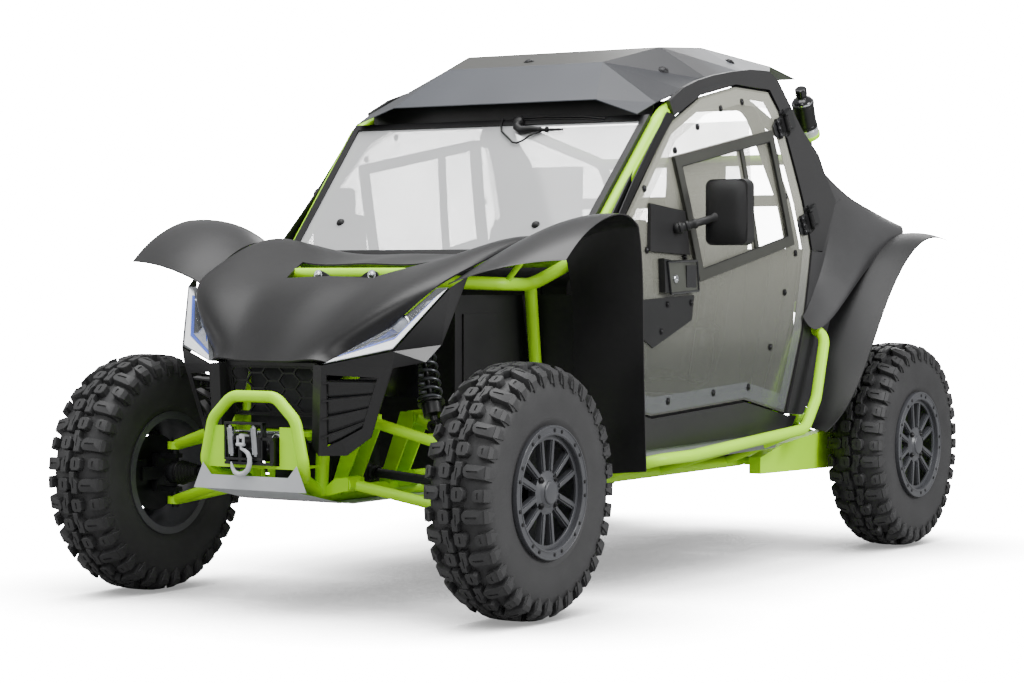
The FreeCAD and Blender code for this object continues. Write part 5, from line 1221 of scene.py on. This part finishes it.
# cloth pressure puffs the cushion; a seam line holds the surface down, and the channel fades out beside it
def puff(piece, seams):
    start = piece.data
    remesh = piece.modifiers.new("evenSkin", "REMESH")
    remesh.mode = "VOXEL"
    remesh.voxel_size = seat["voxel"]
    even = bpy.data.meshes.new_from_object(piece.evaluated_get(bpy.context.evaluated_depsgraph_get()))
    piece.modifiers.clear()
    piece.data = even
    bpy.data.meshes.remove(start)
    cloth = piece.modifiers.new("foam", "CLOTH")
    cloth.settings.use_pressure = True
    cloth.settings.uniform_pressure_force = seat["pressure"]
    cloth.settings.effector_weights.gravity = 0
    for step in range(1, seat["frames"] + 1):
        bpy.context.scene.frame_set(step)
    puffed = piece.evaluated_get(bpy.context.evaluated_depsgraph_get()).data
    moved = [vertex.co.copy() for vertex in puffed.vertices]
    piece.modifiers.clear()
    bpy.context.scene.frame_set(1)
    for vertex, target in zip(even.vertices, moved):
        near = min(abs((vertex.co - Vector(place)).dot(Vector(across))) for place, across in seams)
        rise = min(near / seat["fade"], 1)
        cap = seat["seam"] + (seat["cap"] - seat["seam"]) * rise * rise * (3 - 2 * rise)
        push = target - vertex.co
        vertex.co += push * min(1, cap / max(push.length, 1e-9))
    for face in even.polygons:
        face.use_smooth = True
    smoothSkin(piece)


back = Vector((0, 0.2355, 0.9719))
forward = Vector((0, -0.9719, 0.2355))
baseShape = newShape()
baseOutline = [(-0.05, 0.516), (-0.036, 0.568), (0.10, 0.566), (0.285, 0.552), (0.29, 0.512)]
addPrism(baseShape, [(0.108, y, z) for y, z in baseOutline], (0.364, 0, 0))
backFoot = Vector((0.12, 0.352, 0.604))
backShape = newShape()
addPrism(backShape, [backFoot, backFoot + back * 0.54, backFoot + back * 0.54 + forward * 0.034,
                     backFoot + forward * 0.046], (0.34, 0, 0))
headFoot = Vector((0.19, 0.502, 1.2))
headShape = newShape()
addPrism(headShape, [headFoot, headFoot + Vector((0, 0.012, 0.145)), headFoot + Vector((0, -0.018, 0.145)),
                     headFoot + Vector((0, -0.03, 0))], (0.2, 0, 0))
cushions = {"seat_base": (baseShape, [((0.19, 0, 0), (1, 0, 0)), ((0.39, 0, 0), (1, 0, 0)),
                                      ((0, 0.1, 0.56), (0, 1, 0))]),
            "seat_back": (backShape, [((0.2, 0, 0), (1, 0, 0)), ((0.38, 0, 0), (1, 0, 0)),
                                      (backFoot + back * 0.2, back), (backFoot + back * 0.37, back)]),
            "head_pad": (headShape, [(headFoot + Vector((0, 0, 0.07)), (0, 0, 1))])}
for name, (shape, seams) in cushions.items():
    left = newObject(f"{name}_left", meshFrom(f"{name}_left", shape, seatVinyl, 30))
    puff(left, seams)
    mirrored = left.data.copy()
    mirrored.transform(Matrix.Scale(-1, 4, (1, 0, 0)))
    mirrored.flip_normals()
    right = newObject(f"{name}_right", mirrored)
    smoothSkin(right)
    for piece in (left, right):
        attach(piece, "chassis")
shell = newShape()
shellOutline = [(-70, 462), (-70, 500), (-50, 512), (290, 500), (352, 560), (500, 1170), (512, 1375),
                (546, 1375), (541, 1179), (450, 464)]
wingOutline = [(-66, 500), (-50, 575), (120, 590), (250, 640), (330, 760), (400, 1050), (430, 1150),
               (475, 1180), (520, 1178), (440, 560), (330, 500)]
addPrism(shell, [(0.098, y * mm, z * mm) for y, z in shellOutline[:6] + shellOutline[8:]], (0.384, 0, 0))
addPrism(shell, [(0.18, y * mm, z * mm) for y, z in shellOutline[5:9]], (0.22, 0, 0))
for x in (0.074, 0.484):
    addPrism(shell, [(x, y * mm, z * mm) for y, z in wingOutline], (0.022, 0, 0))
addBox(shell, (0.11, -0.03, 0.3715), (0.47, 0.41, 0.463))
shellPiece = addPiece("seat_shells", joined(shell, mirroredShape(shell)), texturedPlastic, "chassis",
                      0.003)
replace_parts(shellPiece, "seats")
print("seats puffed")


# plain pale floor and soft studio light

floorShape = newShape()
addBox(floorShape, (-40, -40, -0.05), (40, 40, -0.0005))
# grey floor paint for the light it throws back; to the camera the floor glows white, with painted contact
# shadows where ambient occlusion darkens it
floorPaint = addGrain(newFinish("paleFloorPaint", "#9a9a9a", 0.8), 4.0, 0.02, "#979797", "#9d9d9d", 2500,
                      0.02)
floorTree = floorPaint.node_tree
stage = {"shadowReach": 0.9, "shadowPower": 3.6, "shadowGlow": 0.3, "floorGlow": 22, "skyLight": 0.62,
         "skySeen": 30}
contact = addNode(floorTree, "ShaderNodeAmbientOcclusion", {"Distance": stage["shadowReach"]}, samples=12)
deepened = mathNode(floorTree, "POWER", contact.outputs["AO"], stage["shadowPower"])
glow = addNode(floorTree, "ShaderNodeMapRange", {"To Min": stage["shadowGlow"], "To Max": stage["floorGlow"]},
               {"Value": deepened})
paleLight = addNode(floorTree, "ShaderNodeEmission", {"Color": hexColour("#ffffff")},
                    {"Strength": glow.outputs["Result"]})
seen = addNode(floorTree, "ShaderNodeLightPath")
floorMix = addNode(floorTree, "ShaderNodeMixShader", links={
    "Fac": seen.outputs["Is Camera Ray"], 1: floorTree.nodes["Principled BSDF"].outputs["BSDF"],
    2: paleLight.outputs["Emission"]})
floorTree.links.new(floorMix.outputs["Shader"], floorTree.nodes["Material Output"].inputs["Surface"])
floorObject = newObject("studioFloor", meshFrom("studioFloor", floorShape, floorPaint))
world = bpy.data.worlds.new("studioWorld")
bpy.context.scene.world = world
world.use_nodes = True
sky = world.node_tree.nodes["Background"]
sky.inputs["Color"].default_value = hexColour("#ffffff")
lightPath = addNode(world.node_tree, "ShaderNodeLightPath")
skyLevel = addNode(world.node_tree, "ShaderNodeMapRange",
                   {"To Min": stage["skyLight"], "To Max": stage["skySeen"]},
                   {"Value": lightPath.outputs["Is Camera Ray"]})
world.node_tree.links.new(skyLevel.outputs["Result"], sky.inputs["Strength"])
softLights = {
    "overheadSoftbox": {"place": (0.3, -0.8, 5.5), "aim": (0, 0, 0.6), "size": 5.0, "power": 560},
    "keySoftbox": {"place": (2.6, -7.5, 4.6), "aim": (0.2, -0.6, 0.8), "size": 3.2, "power": 190},
    "sideSoftbox": {"place": (7.0, 0.5, 3.6), "aim": (0.4, 0.6, 0.8), "size": 2.4, "power": 560},
    "noseSoftbox": {"place": (-5.5, -5.5, 3.2), "aim": (0, -1.0, 0.7), "size": 3.0, "power": 160},
    "tailSoftbox": {"place": (-2.0, 7.0, 4.0), "aim": (0, 0.6, 0.8), "size": 3.5, "power": 180},
}
for name, light in softLights.items():
    data = bpy.data.lights.new(name, "AREA")
    data.shape = "SQUARE"
    data.size = light["size"]
    data.energy = light["power"]
    softbox = newObject(name, data)
    softbox.location = light["place"]
    toAim = Vector(light["aim"]) - Vector(light["place"])
    softbox.rotation_euler = toAim.to_track_quat("-Z", "Y").to_euler()
print("stage lit")
